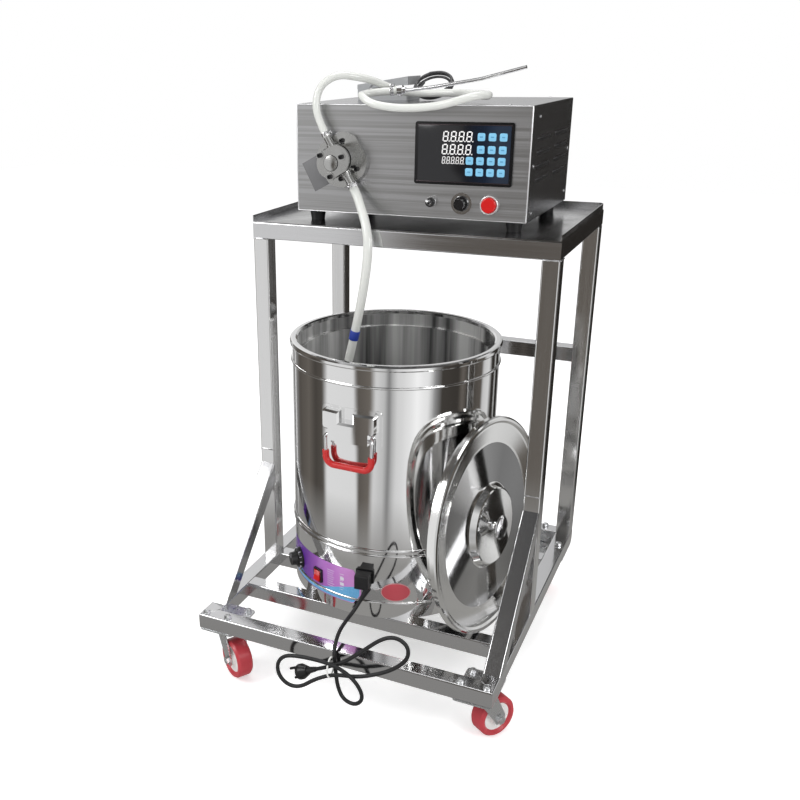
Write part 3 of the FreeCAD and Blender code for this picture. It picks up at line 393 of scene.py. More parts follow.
def painted_lathe_sheen(name, colour, smooth, rough):
    """Steel turned on a lathe, with a painted sheen: its flat is lighter or darker in sectors
    about the lid's own axis.
    """
    material = grained(name, colour, 1.0, smooth, rough, 0.01)
    nodes, links, shader = tree_of(material)
    origin = add_node(nodes, "TexCoord")
    arm = add_node(nodes, "VectorMath", "SUBTRACT")
    arm.inputs[1].default_value = LID_CENTRE
    bearing = add_node(nodes, "Math", "ARCTAN2")
    rise = (Vector((0, 0, 1)) - LID_NORMAL * LID_NORMAL.z).normalized()
    for index, direction in enumerate((rise, rise.cross(LID_NORMAL))):
        along = add_node(nodes, "VectorMath", "DOT_PRODUCT")
        along.inputs[1].default_value = direction
        wire(links, (arm, "Vector", along, 0), (along, "Value", bearing, index))
    turn = add_node(nodes, "MapRange", From_Min=-math.pi, From_Max=math.pi)
    sheen = ramp_node(nodes, [(place / 360 + 0.5, grey(level)) for place, level in LID_SHEEN])
    reach = add_node(nodes, "VectorMath", "LENGTH")
    flat = add_node(nodes, "Math", "COMPARE")
    flat.inputs[1].default_value = LID_FLAT_MIDDLE
    flat.inputs[2].default_value = LID_FLAT_HALF
    tone = colour_mix(nodes, A=colour)
    wire(
        links,
        (origin, "Object", arm, 0), (bearing, "Value", turn, "Value"),
        (turn, "Result", sheen, "Fac"), (arm, "Vector", reach, 0), (reach, "Value", flat, 0),
        (flat, "Value", tone, "Factor"), (sheen, "Color", tone, "B"),
        (tone, "Result", shader, "Base Color"),
    )
    return material


# The grey sectors on the lid are a painted reflection in its base colour.
lid_steel_painted_sheen = painted_lathe_sheen("lid_steel_painted_sheen", (0.92, 0.92, 0.91), 0.08, 0.14)
print("lid sheen from", len(LID_SHEEN), "bearings")

# %% [markdown]
# ## Finishes on the solids
# A solid whose shape is right only needs its material slots filled. Brushing runs the long way of
# each tube, so the rails, the side rails and the legs each have their own direction.

# %% Finishes on the solids
FINISHES = {
    "base_rail_front base_rail_rear cross_rails top_frame": steel_x,
    "base_rail_left base_rail_right": steel_y,
    "leg_front_left leg_front_right leg_rear_left leg_rear_right": steel_z_painted_light,
    "brace_left brace_right": brace_steel_painted_shade,
    "top_tray": tray_steel,
    "caster_plates": zinc,
    "barrel_outer handle_brackets": barrel_steel,
    "barrel_inner": pot_steel_painted_reflections,
    "barrel_lid": lid_steel_painted_sheen,
    "lid_knob bail_front bail_rear control_bushings toggle_lever nozzle": bright_steel,
    "thermostat_dial thermostat_knob rocker_housing power_inlet": black_plastic,
    "inlet_plug mains_plug": black_plastic,
    "rocker_switch push_button": red_gloss,
    "bail_grip_front bail_grip_rear": grip_red,
    "cabinet_body": case_steel,
    "cabinet_cover": cover_steel,
    "cabinet_feet": black_rubber,
    "display_panel": screen_black,
    "speed_knob": knob_gloss,
    "pump_body pump_cover": pump_steel,
    "foot_switch_base foot_pedal": switch_grey,
}
for corner in ("front_right", "front_left", "rear_left", "rear_right"):
    FINISHES["caster_fork_" + corner] = zinc
    FINISHES["caster_hub_" + corner] = hub_white
    FINISHES["caster_tyre_" + corner] = tread_red


def dress(node, material):
    """Fill a solid's slots with one material."""
    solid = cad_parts[node]
    if not solid.data.materials:
        solid.data.materials.append(material)
    for index in range(len(solid.data.materials)):
        solid.data.materials[index] = material


dressed = 0
for names, material in FINISHES.items():
    for node in names.split():
        dress(node, material)
        dressed += 1
print("dressed", dressed, "solids")


# %% Small helpers for new pieces
def select(*objects):
    """Select only these objects, and make the first one active."""
    deselect_all()
    for obj in objects:
        obj.select_set(True)
    bpy.context.view_layer.objects.active = objects[0]


def settle(obj):
    """Put an object's place, turn and size into its mesh, so its origin is the world's."""
    select(obj)
    bpy.ops.object.transform_apply(location=True, rotation=True, scale=True)


def shape_with(obj, kind, **settings):
    """Add a modifier with some settings, and apply it."""
    select(obj)
    modifier = obj.modifiers.new("step", kind)
    for name, value in settings.items():
        setattr(modifier, name, value)
    bpy.ops.object.modifier_apply(modifier=modifier.name)


def finish_piece(obj, name, material, body="cart", smooth=30):
    """Name a piece, give it its finish, smooth it and let it ride on a body."""
    settle(obj)
    obj.name = name
    obj.data.name = name
    obj.data.materials.clear()
    obj.data.materials.append(material)
    bpy.ops.object.shade_smooth_by_angle(angle=math.radians(smooth))
    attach(obj, body)


def join_all(objects):
    """Join several meshes into the first."""
    select(*objects)
    bpy.ops.object.join()
    return objects[0]


def drum(place, axis, radius, depth, vertices=32, bevel=0.0):
    """A cylinder in millimetres that starts at a place and reaches along an axis."""
    deselect_all()
    axis = Vector(axis).normalized()
    depth = depth * MM
    middle = Vector(place) * MM + axis * depth / 2
    turn = Vector((0, 0, 1)).rotation_difference(axis).to_euler()
    bpy.ops.mesh.primitive_cylinder_add(
        vertices=vertices, radius=radius * MM, depth=depth, location=middle, rotation=turn
    )
    obj = bpy.context.object
    settle(obj)
    if bevel:
        soften(obj, bevel)
    return obj


def block(low, high, bevel=0.0):
    """A box between two corners in millimetres."""
    deselect_all()
    low = Vector(low) * MM
    high = Vector(high) * MM
    bpy.ops.mesh.primitive_cube_add(size=1, location=(low + high) / 2)
    obj = bpy.context.object
    obj.scale = high - low
    settle(obj)
    if bevel:
        soften(obj, bevel)
    return obj


def soften(obj, width, segments=2):
    """Round an object's sharp edges by a width in millimetres."""
    shape_with(
        obj, "BEVEL", width=width * MM, segments=segments, limit_method="ANGLE",
        angle_limit=math.radians(40),
    )

# %% [markdown]
# ## Floor
# The floor is a plain pale sheet. To the camera it is the same white as the world behind it, and
# it still takes the soft shadow of the cart. Steel sees it as mid grey near the cart, and further
# out it thins away, so the low reflections run on into the room's streaks.

# %% Floor
FLOOR_NEAR = 0.6
FLOOR_FAR = 0.95
FLOOR_GREY = (0.3, 0.295, 0.285, 1.0)
FLOOR_GLOW = 0.46


def floor_to_steel(nodes, links):
    """What a reflection finds: grey floor near the cart and the bare room further out."""
    place = add_node(nodes, "TexCoord")
    flat = add_node(nodes, "VectorMath", "LENGTH")
    fade = add_node(nodes, "MapRange", From_Min=FLOOR_NEAR, From_Max=FLOOR_FAR)
    seen = add_node(nodes, "MixShader")
    wire(
        links,
        (place, "Object", flat, 0), (flat, "Value", fade, "Value"), (fade, "Result", seen, "Fac"),
        (add_node(nodes, "Emission", Color=FLOOR_GREY), "Emission", seen, 1),
        (add_node(nodes, "BsdfTransparent"), "BSDF", seen, 2),
    )
    return seen


def floor_material():
    """Pale matte floor, white to the camera where nothing shades it."""
    material = plain_material("studio_floor", grey(0.93), 0.0, 0.9)
    nodes, links, shader = tree_of(material)
    path = add_node(nodes, "LightPath")
    glow = add_node(nodes, "Emission", Color=(1.0, 1.0, 1.0, 1.0), Strength=FLOOR_GLOW)
    bright = add_node(nodes, "AddShader")
    to_camera = add_node(nodes, "MixShader")
    to_steel = add_node(nodes, "MixShader")
    wire(
        links,
        (shader, "BSDF", bright, 0), (glow, "Emission", bright, 1),
        (path, "Is Camera Ray", to_camera, "Fac"), (shader, "BSDF", to_camera, 1),
        (bright, "Shader", to_camera, 2), (path, "Is Glossy Ray", to_steel, "Fac"),
        (to_camera, "Shader", to_steel, 1), (floor_to_steel(nodes, links), "Shader", to_steel, 2),
        (to_steel, "Shader", nodes["Material Output"], "Surface"),
    )
    return material


deselect_all()
bpy.ops.mesh.primitive_plane_add(size=14, location=(0, 0, -0.0005))
floor = bpy.context.object
floor.name = "studio_floor"
floor.data.materials.append(floor_material())
settle(floor)

# %% [markdown]
# ## Cords and hoses
# A cord is a curve with a round bevel. Its control points are the corners of the solid tube's
# route, and a NURBS of order three runs smoothly inside those corners. The hoses are cloudy
# silicone, the mains lead is black rubber.

# %% Cords
def nurbs_cord(name, points, diameter, material):
    """A round cord along a smooth line through the middle of each run of the route."""
    deselect_all()
    curve = bpy.data.curves.new(name, "CURVE")
    curve.dimensions = "3D"
    spline = curve.splines.new("NURBS")
    spline.points.add(len(points) - 1)
    for knot, place in zip(spline.points, points):
        knot.co = (*(Vector(place) * MM), 1.0)
    spline.order_u = 3
    spline.use_endpoint_u = True
    spline.resolution_u = 8
    curve.bevel_depth = diameter / 2
    curve.bevel_resolution = 5
    curve.use_fill_caps = True
    obj = bpy.data.objects.new(name, curve)
    scene.collection.objects.link(obj)
    curve.materials.append(material)
    return obj


def path_length(points):
    """The length of the smooth line, read from the curve itself."""
    probe = nurbs_cord("probe", points, 0.0, hose_clear)
    line = bpy.data.meshes.new_from_object(probe)
    places = [vertex.co.copy() for vertex in line.vertices]
    bpy.data.objects.remove(probe)
    return sum((b - a).length for a, b in zip(places, places[1:])), places


def hose_material(name, tint):
    """Cloudy silicone: pale, glossy, and lighter at its edges than a solid plastic would be."""
    material = grained(name, tint, 0.0, 0.12, 0.22, 0.02, coat=0.2)
    shader = material.node_tree.nodes["Principled BSDF"]
    shader.inputs["Subsurface Weight"].default_value = 0.35
    shader.inputs["Subsurface Radius"].default_value = (0.006, 0.006, 0.006)
    return material


hose_clear = hose_material("hose_silicone", (0.73, 0.74, 0.71))

PUMP_TILT = math.radians(30.9)
PORT_Y = -35.7


def pump_place(along, across):
    """A point on the pump's middle plane, along and across its port line, in millimetres."""
    x = -122.5 + across * math.cos(PUMP_TILT) + along * math.sin(PUMP_TILT)
    z = 927.5 + across * math.sin(PUMP_TILT) - along * math.cos(PUMP_TILT)
    return (x, PORT_Y, z)


DELIVERY = [
    pump_place(-45, 7), pump_place(-65, 7), (-163, -34, 1019), (-158, -25, 1053),
    (-133, -8, 1071), (-105, 14, 1066), (-87, 38, 1060), (-71, 62, 1050), (-49, 84, 1039),
    (-14, 92, 1036), (32, 86, 1038), (76, 70, 1037), (107, 50, 1037), (125, 30, 1037),
    (130, 4, 1036), (119, -21, 1038), (96, -34, 1031), (60, -31, 1022), (20, -30, 1018),
    (-20, -31, 1018), (-60, -31, 1024), (-84, -18, 1037), (-92, 9, 1037), (-85, 34, 1040),
    (-66, 50, 1041), (-44, 52, 1042),
]
SUCTION = [
    pump_place(45, 7), pump_place(63, 7), (-71, -48, 858), (-50, -70, 828), (-41, -82, 793),
    (-44, -86, 746), (-53, -85, 694), (-66, -82, 637), (-79, -78, 586),
]
MAINS = [
    (6, -213, 183), (-3, -220, 163), (-9, -245, 153), (-7, -284, 153), (0, -320, 141),
    (3, -322, 114), (5, -322, 90), (9, -323, 66), (20, -325, 46), (42, -328, 43), (58, -331, 58),
    (59, -334, 80), (44, -338, 106), (14, -339, 122), (-20, -340, 125), (-58, -341, 123),
    (-86, -342, 117), (-101, -342, 97), (-99, -342, 72), (-81, -342, 56), (-56, -341, 58),
    (-28, -337, 82), (6, -332, 99), (48, -330, 104), (92, -328, 124), (120, -326, 144),
    (138, -325, 166), (138, -325, 190), (118, -326, 203), (92, -327, 194), (56, -329, 158),
    (24, -330, 128), (-8, -330, 108), (-32, -326, 94),
]


def lay_cord(name, points, diameter, material, nodes):
    """Make a cord, let it stand for its solid, and print its real length."""
    cord = nurbs_cord(name, points, diameter, material)
    length, places = path_length(points)
    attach(cord, "cart")
    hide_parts(nodes[0])
    print(name, round(length, 3), "m")
    return places


delivery_line = lay_cord(
    "delivery_hose_tube", DELIVERY, 0.013, hose_clear,
    ["delivery_hose", "nozzle"],
)
suction_line = lay_cord(
    "suction_hose_tube", SUCTION, 0.016, hose_clear, ["suction_hose"],
)
lay_cord(
    "mains_lead", MAINS, 0.007, black_rubber,
    ["mains_cord", "inlet_plug", "mains_plug"],
)

# %% [markdown]
# ## The foot switch's cable
# The cable is put away in a coil of four turns. A helix whose radius and height change a little
# from turn to turn looks wound by hand, and its points are worked out from the turn number.

# %% Foot switch cable
COIL_MIDDLE = Vector((-8.0, 137.0, 1048.3))
COIL_LEAN = math.radians(35)
COIL_START = math.radians(150)
COIL_STEPS = 12
TURNS = ((27.0, -4.0), (32.0, -4.5), (37.0, -1.0), (33.0, 4.5))


def coil_points():
    """The turns, each a radius and a lift along the coil's axis, run into one another."""
    lean = Matrix.Rotation(COIL_LEAN, 3, "X")
    points = []
    for (radius, lift), (next_radius, next_lift) in zip(TURNS, TURNS[1:] + TURNS[-1:]):
        for step in range(COIL_STEPS):
            share = step / COIL_STEPS
            r = radius + (next_radius - radius) * share
            h = lift + (next_lift - lift) * share
            a = COIL_START + math.tau * share
            local = Vector((r * math.cos(a), r * math.sin(a), h))
            points.append(tuple(COIL_MIDDLE + lean @ local))
    return points


cable_grey = grained("cable_grey", (0.05, 0.05, 0.052), 0.0, 0.35, 0.5, 0.04)
lay_cord(
    "foot_cable", coil_points(), 0.0045, cable_grey,
    ["foot_cable_coil"],
)

# %% [markdown]
# ## Display and keys
# The display is a flat film behind a frame. Its digits are seven-segment figures: seven short
# bars, each beveled so that it reads as lit plastic, and a dot. One figure is modelled once from
# bars, slanted a little, and copied along each row. The keys are rounded tiles, modelled once too.

# %% Placing copies
def shift(obj, offset):
    """Move an object's mesh by an offset in millimetres."""
    obj.data.transform(Matrix.Translation(Vector(offset) * MM))
    return obj


def turn_mesh(obj, degrees, axis):
    """Turn an object's mesh about an axis through the world's origin."""
    obj.data.transform(Matrix.Rotation(math.radians(degrees), 4, axis))
    return obj


def copy_to(obj, offset):
    """A copy with its own mesh, moved by an offset in millimetres."""
    twin = obj.copy()
    twin.data = obj.data.copy()
    scene.collection.objects.link(twin)
    return shift(twin, offset)


def discard(*models):
    """Remove the models that only served for copying."""
    for model in models:
        bpy.data.objects.remove(model)


# %% Screen finishes
def lit(name, colour, strength):
    """A plain plastic that also glows a little, as a lit digit does."""
    material = plain_material(name, colour, 0.0, 0.35)
    shader = material.node_tree.nodes["Principled BSDF"]
    shader.inputs["Emission Color"].default_value = (*colour, 1.0)
    shader.inputs["Emission Strength"].default_value = strength
    return material


def coloured_across(name, low, high, stops, roughness):
    """A material whose base colour runs through stops along X, between two places."""
    material = plain_material(name, stops[0][1], 0.0, roughness)
    nodes, links, shader = tree_of(material)
    place = add_node(nodes, "TexCoord")
    parts = add_node(nodes, "SeparateXYZ")
    across = add_node(nodes, "MapRange", From_Min=low * MM, From_Max=high * MM)
    hue = ramp_node(nodes, stops)
    wire(
        links,
        (place, "Object", parts, "Vector"), (parts, "X", across, "Value"),
        (across, "Result", hue, "Fac"), (hue, "Color", shader, "Base Color"),
    )
    return material


digit_white = lit("digit_white", (0.75, 0.74, 0.74), 0.35)
key_cyan = grained("key_cyan", (0.22, 0.55, 0.80), 0.0, 0.3, 0.45, 0.03)
key_mark = grained("key_mark", (0.08, 0.30, 0.52), 0.0, 0.3, 0.45, 0.03)
screen_film = coloured_across(
    "screen_film", 95, 150, [(0, (0.008, 0.008, 0.010)), (1, (0.003, 0.012, 0.032))], 0.12
)
frame_edge = grained("screen_edge", (0.10, 0.07, 0.08), 0.6, 0.15, 0.25, 0.02)

# %% Film
PANEL = (16.0, 184.0, 896.0, 997.0)
PANEL_FACE = -19.7
FILM_BORDER = 5.5

left, far_side, bottom, top = PANEL
film = block(
    (left + FILM_BORDER, PANEL_FACE - 0.5, bottom + FILM_BORDER),
    (far_side - FILM_BORDER, PANEL_FACE + 0.2, top - FILM_BORDER), 0.4,
)
finish_piece(film, "screen_film", screen_film)
rails = []
for z in (bottom + FILM_BORDER - 1.0, top - FILM_BORDER + 0.4):
    near = (left + 4, PANEL_FACE - 0.35, z)
    rails.append(block(near, (far_side - 4, PANEL_FACE + 0.1, z + 0.6), 0.15))
finish_piece(join_all(rails), "screen_edge_lines", frame_edge)
print("film", round(far_side - left, 1), "by", round(top - bottom, 1), "mm")

# %% Seven-segment figures
FIGURE_FACE = PANEL_FACE - 0.5


def bar(x, z, length, thick, upright):
    """One lit bar of a figure, centred on a point."""
    half_x = thick / 2 if upright else length / 2
    half_z = length / 2 if upright else thick / 2
    low = (x - half_x, FIGURE_FACE - 0.25, z - half_z)
    return block(low, (x + half_x, FIGURE_FACE + 0.05, z + half_z), 0.2)


def figure(width, height, thick):
    """An eight at the origin: three flat bars, four upright bars and a dot."""
    bars = [bar(0, z, width - thick * 1.2, thick, False) for z in (-height / 2, 0, height / 2)]
    for x in (-width / 2, width / 2):
        for z in (-height / 4, height / 4):
            bars.append(bar(x, z, height / 2 - thick * 0.5, thick, True))
    bars.append(bar(width / 2 + thick * 1.6, -height / 2, thick, thick, True))
    eight = join_all(bars)
    slant = Matrix.Identity(4)
    slant[0][2] = 0.09
    eight.data.transform(slant)
    return eight


def row_of_figures(model, first_x, pitch, count, z):
    """Copies of a figure along one row."""
    return [copy_to(model, (first_x + pitch * i, 0, z)) for i in range(count)]


LARGE_PITCH = 13.4
SMALL_PITCH = 7.9
large = figure(7.6, 15.0, 1.9)
small = figure(4.4, 10.6, 1.1)
figures = row_of_figures(large, 69.5, LARGE_PITCH, 4, 974)
figures += row_of_figures(large, 68.5, LARGE_PITCH, 4, 953.5)
figures += row_of_figures(small, 67.2, SMALL_PITCH, 5, 936)
discard(large, small)
finish_piece(join_all(figures), "display_figures", digit_white)
print("figures:", len(figures))

# %% Keys
KEY_SIZE = 12.6
KEY_ROWS = (
    (974.0, (130.0, 148.3, 166.6)), (954.0, (129.8, 148.0, 166.2)),
    (936.0, (111.6, 129.5, 147.5, 165.5)), (918.0, (111.4, 129.3, 147.3, 165.1)),
)


def key_tile():
    """A rounded tile at the origin: its upright corners are rounded, then its face edge."""
    half = KEY_SIZE / 2
    tile = block((-half, FIGURE_FACE - 0.8, -half), (half, FIGURE_FACE + 0.1, half))
    bpy.ops.object.mode_set(mode="EDIT")
    bpy.ops.mesh.select_mode(type="EDGE")
    bpy.ops.mesh.select_all(action="DESELECT")
    bpy.ops.object.mode_set(mode="OBJECT")
    for edge in tile.data.edges:
        a, b = (tile.data.vertices[i].co for i in edge.vertices)
        edge.select = abs(a.y - b.y) > 0.5 * MM
    bpy.ops.object.mode_set(mode="EDIT")
    bpy.ops.mesh.bevel(offset=2.6 * MM, segments=5)
    bpy.ops.object.mode_set(mode="OBJECT")
    soften(tile, 0.3)
    return tile


tile = key_tile()
mark = block((-2.6, FIGURE_FACE - 0.95, -0.9), (2.6, FIGURE_FACE - 0.7, 0.9), 0.2)
tiles = []
marks = []
for z, columns in KEY_ROWS:
    for x in columns:
        tiles.append(copy_to(tile, (x, 0, z)))
        marks.append(copy_to(mark, (x, 0, z)))
discard(tile, mark)
finish_piece(join_all(tiles), "display_keys", key_cyan)
finish_piece(join_all(marks), "key_marks", key_mark)
print("keys:", len(tiles))

# %% [markdown]
# ## Label and badge on the barrel
# The control label and the badge are thin films. Each starts as a flat grid whose rows run
# between a lower and an upper edge line, so any outline comes from two short functions. A
# solidify modifier gives it thickness, openings are cut where the dial and the switch come
# through, and then every corner is wrapped around the barrel's axis. Nothing is lettered: the
# label has plain dashes and the badge is bare.

# %% Films that wrap around the barrel
BARREL_X = -20.0
SKIN_RADIUS = 191.0


def film_piece(half_width, low_edge, high_edge, columns, thick):
    """A flat film in X and Z millimetres; its columns crowd towards the ends."""
    deselect_all()
    bpy.ops.mesh.primitive_grid_add(x_subdivisions=columns, y_subdivisions=4, size=1)
    obj = bpy.context.object
    for vertex in obj.data.vertices:
        across = half_width * math.sin(math.pi * vertex.co.x)
        low = low_edge(across)
        high = high_edge(across)
        vertex.co = Vector((across, 0, low + (high - low) * (vertex.co.y + 0.5))) * MM
    bpy.ops.object.mode_set(mode="EDIT")
    bpy.ops.mesh.select_all(action="SELECT")
    bpy.ops.mesh.remove_doubles(threshold=0.00001)
    bpy.ops.object.mode_set(mode="OBJECT")
    shape_with(obj, "SOLIDIFY", thickness=thick * MM, offset=0.0)
    return obj


def combine(obj, other, operation):
    """Combine two solids with a boolean, and drop the second."""
    shape_with(obj, "BOOLEAN", operation=operation, solver="EXACT", object=other)
    discard(other)


def cut_out(obj, cutter):
    """Cut one object away from another."""
    combine(obj, cutter, "DIFFERENCE")


def around(angle_deg, radius, z):
    """A point around the barrel, from millimetres to metres."""
    a = math.radians(angle_deg)
    return Vector((BARREL_X + radius * math.cos(a), radius * math.sin(a), z)) * MM


def wrap(obj, middle_deg, middle_z, lift):
    """Wrap a flat piece around the barrel with its middle surface a lift above the skin."""
    for vertex in obj.data.vertices:
        across, inward, up = vertex.co / MM
        angle = middle_deg + math.degrees(across / SKIN_RADIUS)
        vertex.co = around(angle, SKIN_RADIUS + lift - inward, middle_z + up)
    obj.data.update()
    return obj


# %% Label colours
label_film = coloured_across(
    "label_film", -140, -12,
    [(0, (0.12, 0.03, 0.30)), (0.45, (0.42, 0.14, 0.52)), (1, (0.68, 0.30, 0.68))], 0.25,
)
label_blue = grained("label_blue", (0.16, 0.46, 0.78), 0.0, 0.22, 0.3, 0.01)
pale_print = grained("pale_print", (0.74, 0.72, 0.80), 0.0, 0.3, 0.4, 0.01)
badge_red = grained("badge_red", (0.72, 0.10, 0.13), 0.0, 0.16, 0.24, 0.01, coat=0.3)
badge_pale = grained("badge_edge", (0.78, 0.36, 0.38), 0.0, 0.2, 0.3, 0.01)

# %% Label film
DIAL_DEG = -135.5
DIAL_RADIUS = 21.3
SWITCH_DEG = -114.0
GAP = 0.5
LABEL_DEG = -118.0
LABEL_Z = 190.0
LABEL_HALF = 109.0
LABEL_LOW = -35.0
LABEL_HIGH = 34.5
PRINT_LIFT = 0.42
CLIP_WIDTH = 15.0
CLIP_SLOPE = 1.7


def clip(across):
    """How far the label's edge is drawn in near its clipped ends."""
    return max(0.0, abs(across) - (LABEL_HALF - CLIP_WIDTH)) * CLIP_SLOPE


def label_bottom(across):
    """The label's lower edge."""
    return LABEL_LOW + clip(across) * 0.8


def label_top(across):
    """The label's upper edge."""
    return LABEL_HIGH - clip(across)


def wave_top(across):
    """The blue band's upper edge, a slow wave that rises to the right."""
    return LABEL_LOW + 17 - 6 * math.sin((across + 62) / 34) + max(0.0, across - 30) * 0.18


def on_label(angle_deg):
    """How far across the flat label an angle on the barrel lies."""
    return math.radians(angle_deg - LABEL_DEG) * SKIN_RADIUS


def open_for_controls(film, margin):
    """Cut the round hole of the dial and the square one of the switch."""
    cut_out(film, drum((on_label(DIAL_DEG), -5, 0), (0, 1, 0), DIAL_RADIUS + margin, 10, 64))
    x = on_label(SWITCH_DEG)
    low = (x - 11.3 - margin, -5, -15.8 - margin)
    cut_out(film, block(low, (x + 11.3 + margin, 5, 11.8 + margin)))


def band_top(across):
    """The band's upper edge: the wave, kept between the label's own edges."""
    return max(label_bottom(across) + 1.8, min(wave_top(across), label_top(across) - 3))


label = film_piece(LABEL_HALF, label_bottom, label_top, 72, 0.3)
open_for_controls(label, 0)
wrap(label, LABEL_DEG, LABEL_Z, 0.2)
finish_piece(label, "control_label", label_film)

BAND_HALF = LABEL_HALF - 3.0
band = film_piece(BAND_HALF, lambda x: label_bottom(x) + 1.5, band_top, 72, 0.1)
open_for_controls(band, GAP)
wrap(band, LABEL_DEG, LABEL_Z, PRINT_LIFT)
finish_piece(band, "control_label_band", label_blue)
print("label", round(2 * LABEL_HALF, 1), "mm long")

# %% Plain dashes and two boxes on the label
def dash(middle, up, half_width, half_height):
    """One short printed bar on the label, wrapped with it."""
    bar_piece = film_piece(half_width, lambda x: -half_height, lambda x: half_height, 6, 0.1)
    return wrap(shift(bar_piece, (middle, 0, up)), LABEL_DEG, LABEL_Z, PRINT_LIFT)


DASH_TOP = 19.5
DASH_PITCH = 4.6
dashes = []
for row in range(8):
    up = DASH_TOP - DASH_PITCH * row
    dashes.append(dash(on_label(-104.6) - (row % 3) * 0.8, up, 8.2 - (row % 3) * 0.8, 0.4))
    if row not in (2, 5):
        dashes.append(dash(on_label(-97.0) - (row % 2), up - 0.4, 4.4 - (row % 2), 0.45))
for up in (10.2, -1.2):
    dashes.append(dash(on_label(-96.9), up, 4.0, 3.2))
finish_piece(join_all(dashes), "label_dashes", pale_print)
print("dashes", len(dashes))

# %% Badge
BADGE_DEG = -66.1
BADGE_Z = 188.5


def oval(half_width, half_height, thick):
    """An oval film."""
    def edge(across):
        return half_height * math.sqrt(max(0.0, 1 - (across / half_width) ** 2))

    return film_piece(half_width, lambda x: -edge(x), edge, 28, thick)


plate = wrap(oval(27.0, 18.7, 0.5), BADGE_DEG, BADGE_Z, 0.3)
finish_piece(plate, "badge_edge", badge_pale)
face = wrap(oval(25.4, 17.2, 0.3), BADGE_DEG, BADGE_Z, 0.65)
finish_piece(face, "badge_face", badge_red)
print("badge", BADGE_DEG, "degrees around")

# %% [markdown]
# ## The machine's case and controls
# Folded sheet shows a bright line where it turns a corner; here each front edge gets a thin
# rounded bead in a pale finish, a painted highlight. The screws are one button head with a cross
# slot, copied along the edges. Each louvre is a black slit, painted shade over the opening, under
# a pressed lip in a dark finish, painted shade too.

# %% Case edges, screws and louvres
CASE_LEFT = -207.0
CASE_RIGHT = 212.0
CASE_FRONT = -17.7
CASE_BACK = 278.8
CASE_LOW = 839.0
CASE_HIGH = 1023.0
# The beads' pale finish is a painted highlight along the folded edges.
edge_painted_highlight = grained("edge_painted_highlight", (0.85, 0.85, 0.86), 0.7, 0.3, 0.4, 0.02)
# Black for painted shade in openings and grooves, and a dark copy of the case steel for the shaded
# louvre lips.
painted_shade_black = grained("painted_shade_black", (0.006, 0.006, 0.006), 0.0, 0.6, 0.7, 0.02)
louvre_lip_painted_shade = grained("louvre_lip_painted_shade", (0.16, 0.16, 0.165), 1.0, 0.25, 0.35, 0.03, along_y)

edges = []
case_height = CASE_HIGH - CASE_LOW - 2
case_width = CASE_RIGHT - CASE_LEFT - 2
for x in (CASE_LEFT + 1.1, CASE_RIGHT - 1.1):
    foot = (x, CASE_FRONT, CASE_LOW + 1)
    edges.append(drum(foot, (0, 0, 1), 1.1, case_height, 16, 0.4))
for z, radius in ((CASE_HIGH - 1.0, 0.8), (CASE_LOW + 0.9, 0.7)):
    edges.append(drum((CASE_LEFT + 1, CASE_FRONT, z), (1, 0, 0), radius, case_width, 16, 0.3))
finish_piece(join_all(edges), "case_edge_beads", edge_painted_highlight)

LOUVRE_LENGTH = 92.0
LOUVRE_PITCH = 22.0
slits = []
lips = []
for row in range(4):
    z = CASE_LOW + 60 + LOUVRE_PITCH * row
    for y in (22.0, 152.0):
        low = (CASE_RIGHT - 0.2, y, z + 0.3)
        slits.append(block(low, (CASE_RIGHT + 0.35, y + LOUVRE_LENGTH, z + 4.7), 0.15))
        start = (CASE_RIGHT - 0.2, y - 1, z + 5.6)
        lips.append(drum(start, (0, 1, 0), 1.1, LOUVRE_LENGTH + 2, 14, 0.5))
# The slits are painted shade over the openings, and the lips' dark steel is painted shade as well.
finish_piece(join_all(slits), "louvre_slits", painted_shade_black)
finish_piece(join_all(lips), "louvre_lips", louvre_lip_painted_shade)
print("louvres", len(slits))


# %% Screws
def button_screw(radius):
    """A domed screw head at the origin that faces along X, with a cross slot."""
    head = drum((-0.2, 0, 0), (1, 0, 0), radius, radius * 0.55, 24)
    soften(head, radius * 0.3, 3)
    for half_y, half_z in ((radius * 0.6, radius * 0.12), (radius * 0.12, radius * 0.6)):
        cut_out(head, block((radius * 0.2, -half_y, -half_z), (radius, half_y, half_z)))
    return head


SIDE_SCREWS = ((4.0, 928), (8.0, 852), (CASE_BACK - 15, 935), (CASE_BACK - 17, 858))
TOP_SCREWS = ((171, -9), (-166, -9), (171, CASE_BACK - 10), (-166, CASE_BACK - 10))
right_screw = button_screw(2.6)
left_screw = turn_mesh(copy_to(right_screw, (0, 0, 0)), 180, "Z")
top_screw = turn_mesh(copy_to(right_screw, (0, 0, 0)), -90, "Y")
screws = [copy_to(right_screw, (CASE_RIGHT, y, z)) for y, z in (*SIDE_SCREWS, (30, 1004))]
screws += [copy_to(left_screw, (CASE_LEFT, y, z)) for y, z in SIDE_SCREWS]
screws += [copy_to(top_screw, (x, y, CASE_HIGH)) for x, y in TOP_SCREWS]
discard(right_screw, left_screw, top_screw)
finish_piece(join_all(screws), "case_screws", bright_steel, smooth=40)
print("case screws", len(screws))

# %% Control trims
TOGGLE_X = 46.6
PUSH_X = 149.0
CONTROLS_Z = 866.0
FORWARD = (0, -1, 0)
bezel_white = grained("bezel_white", grey(0.82), 0.5, 0.15, 0.25, 0.01)

nut = drum((TOGGLE_X, CASE_FRONT - 0.1, CONTROLS_Z), FORWARD, 7.6, 9.4, 40, 1.4)
cut_out(nut, drum((TOGGLE_X, CASE_FRONT + 1, CONTROLS_Z), FORWARD, 5.9, 9.1, 32))
cut_out(nut, drum((TOGGLE_X, CASE_FRONT - 5, CONTROLS_Z), FORWARD, 4.6, 9, 32))
finish_piece(nut, "toggle_cap", black_plastic)


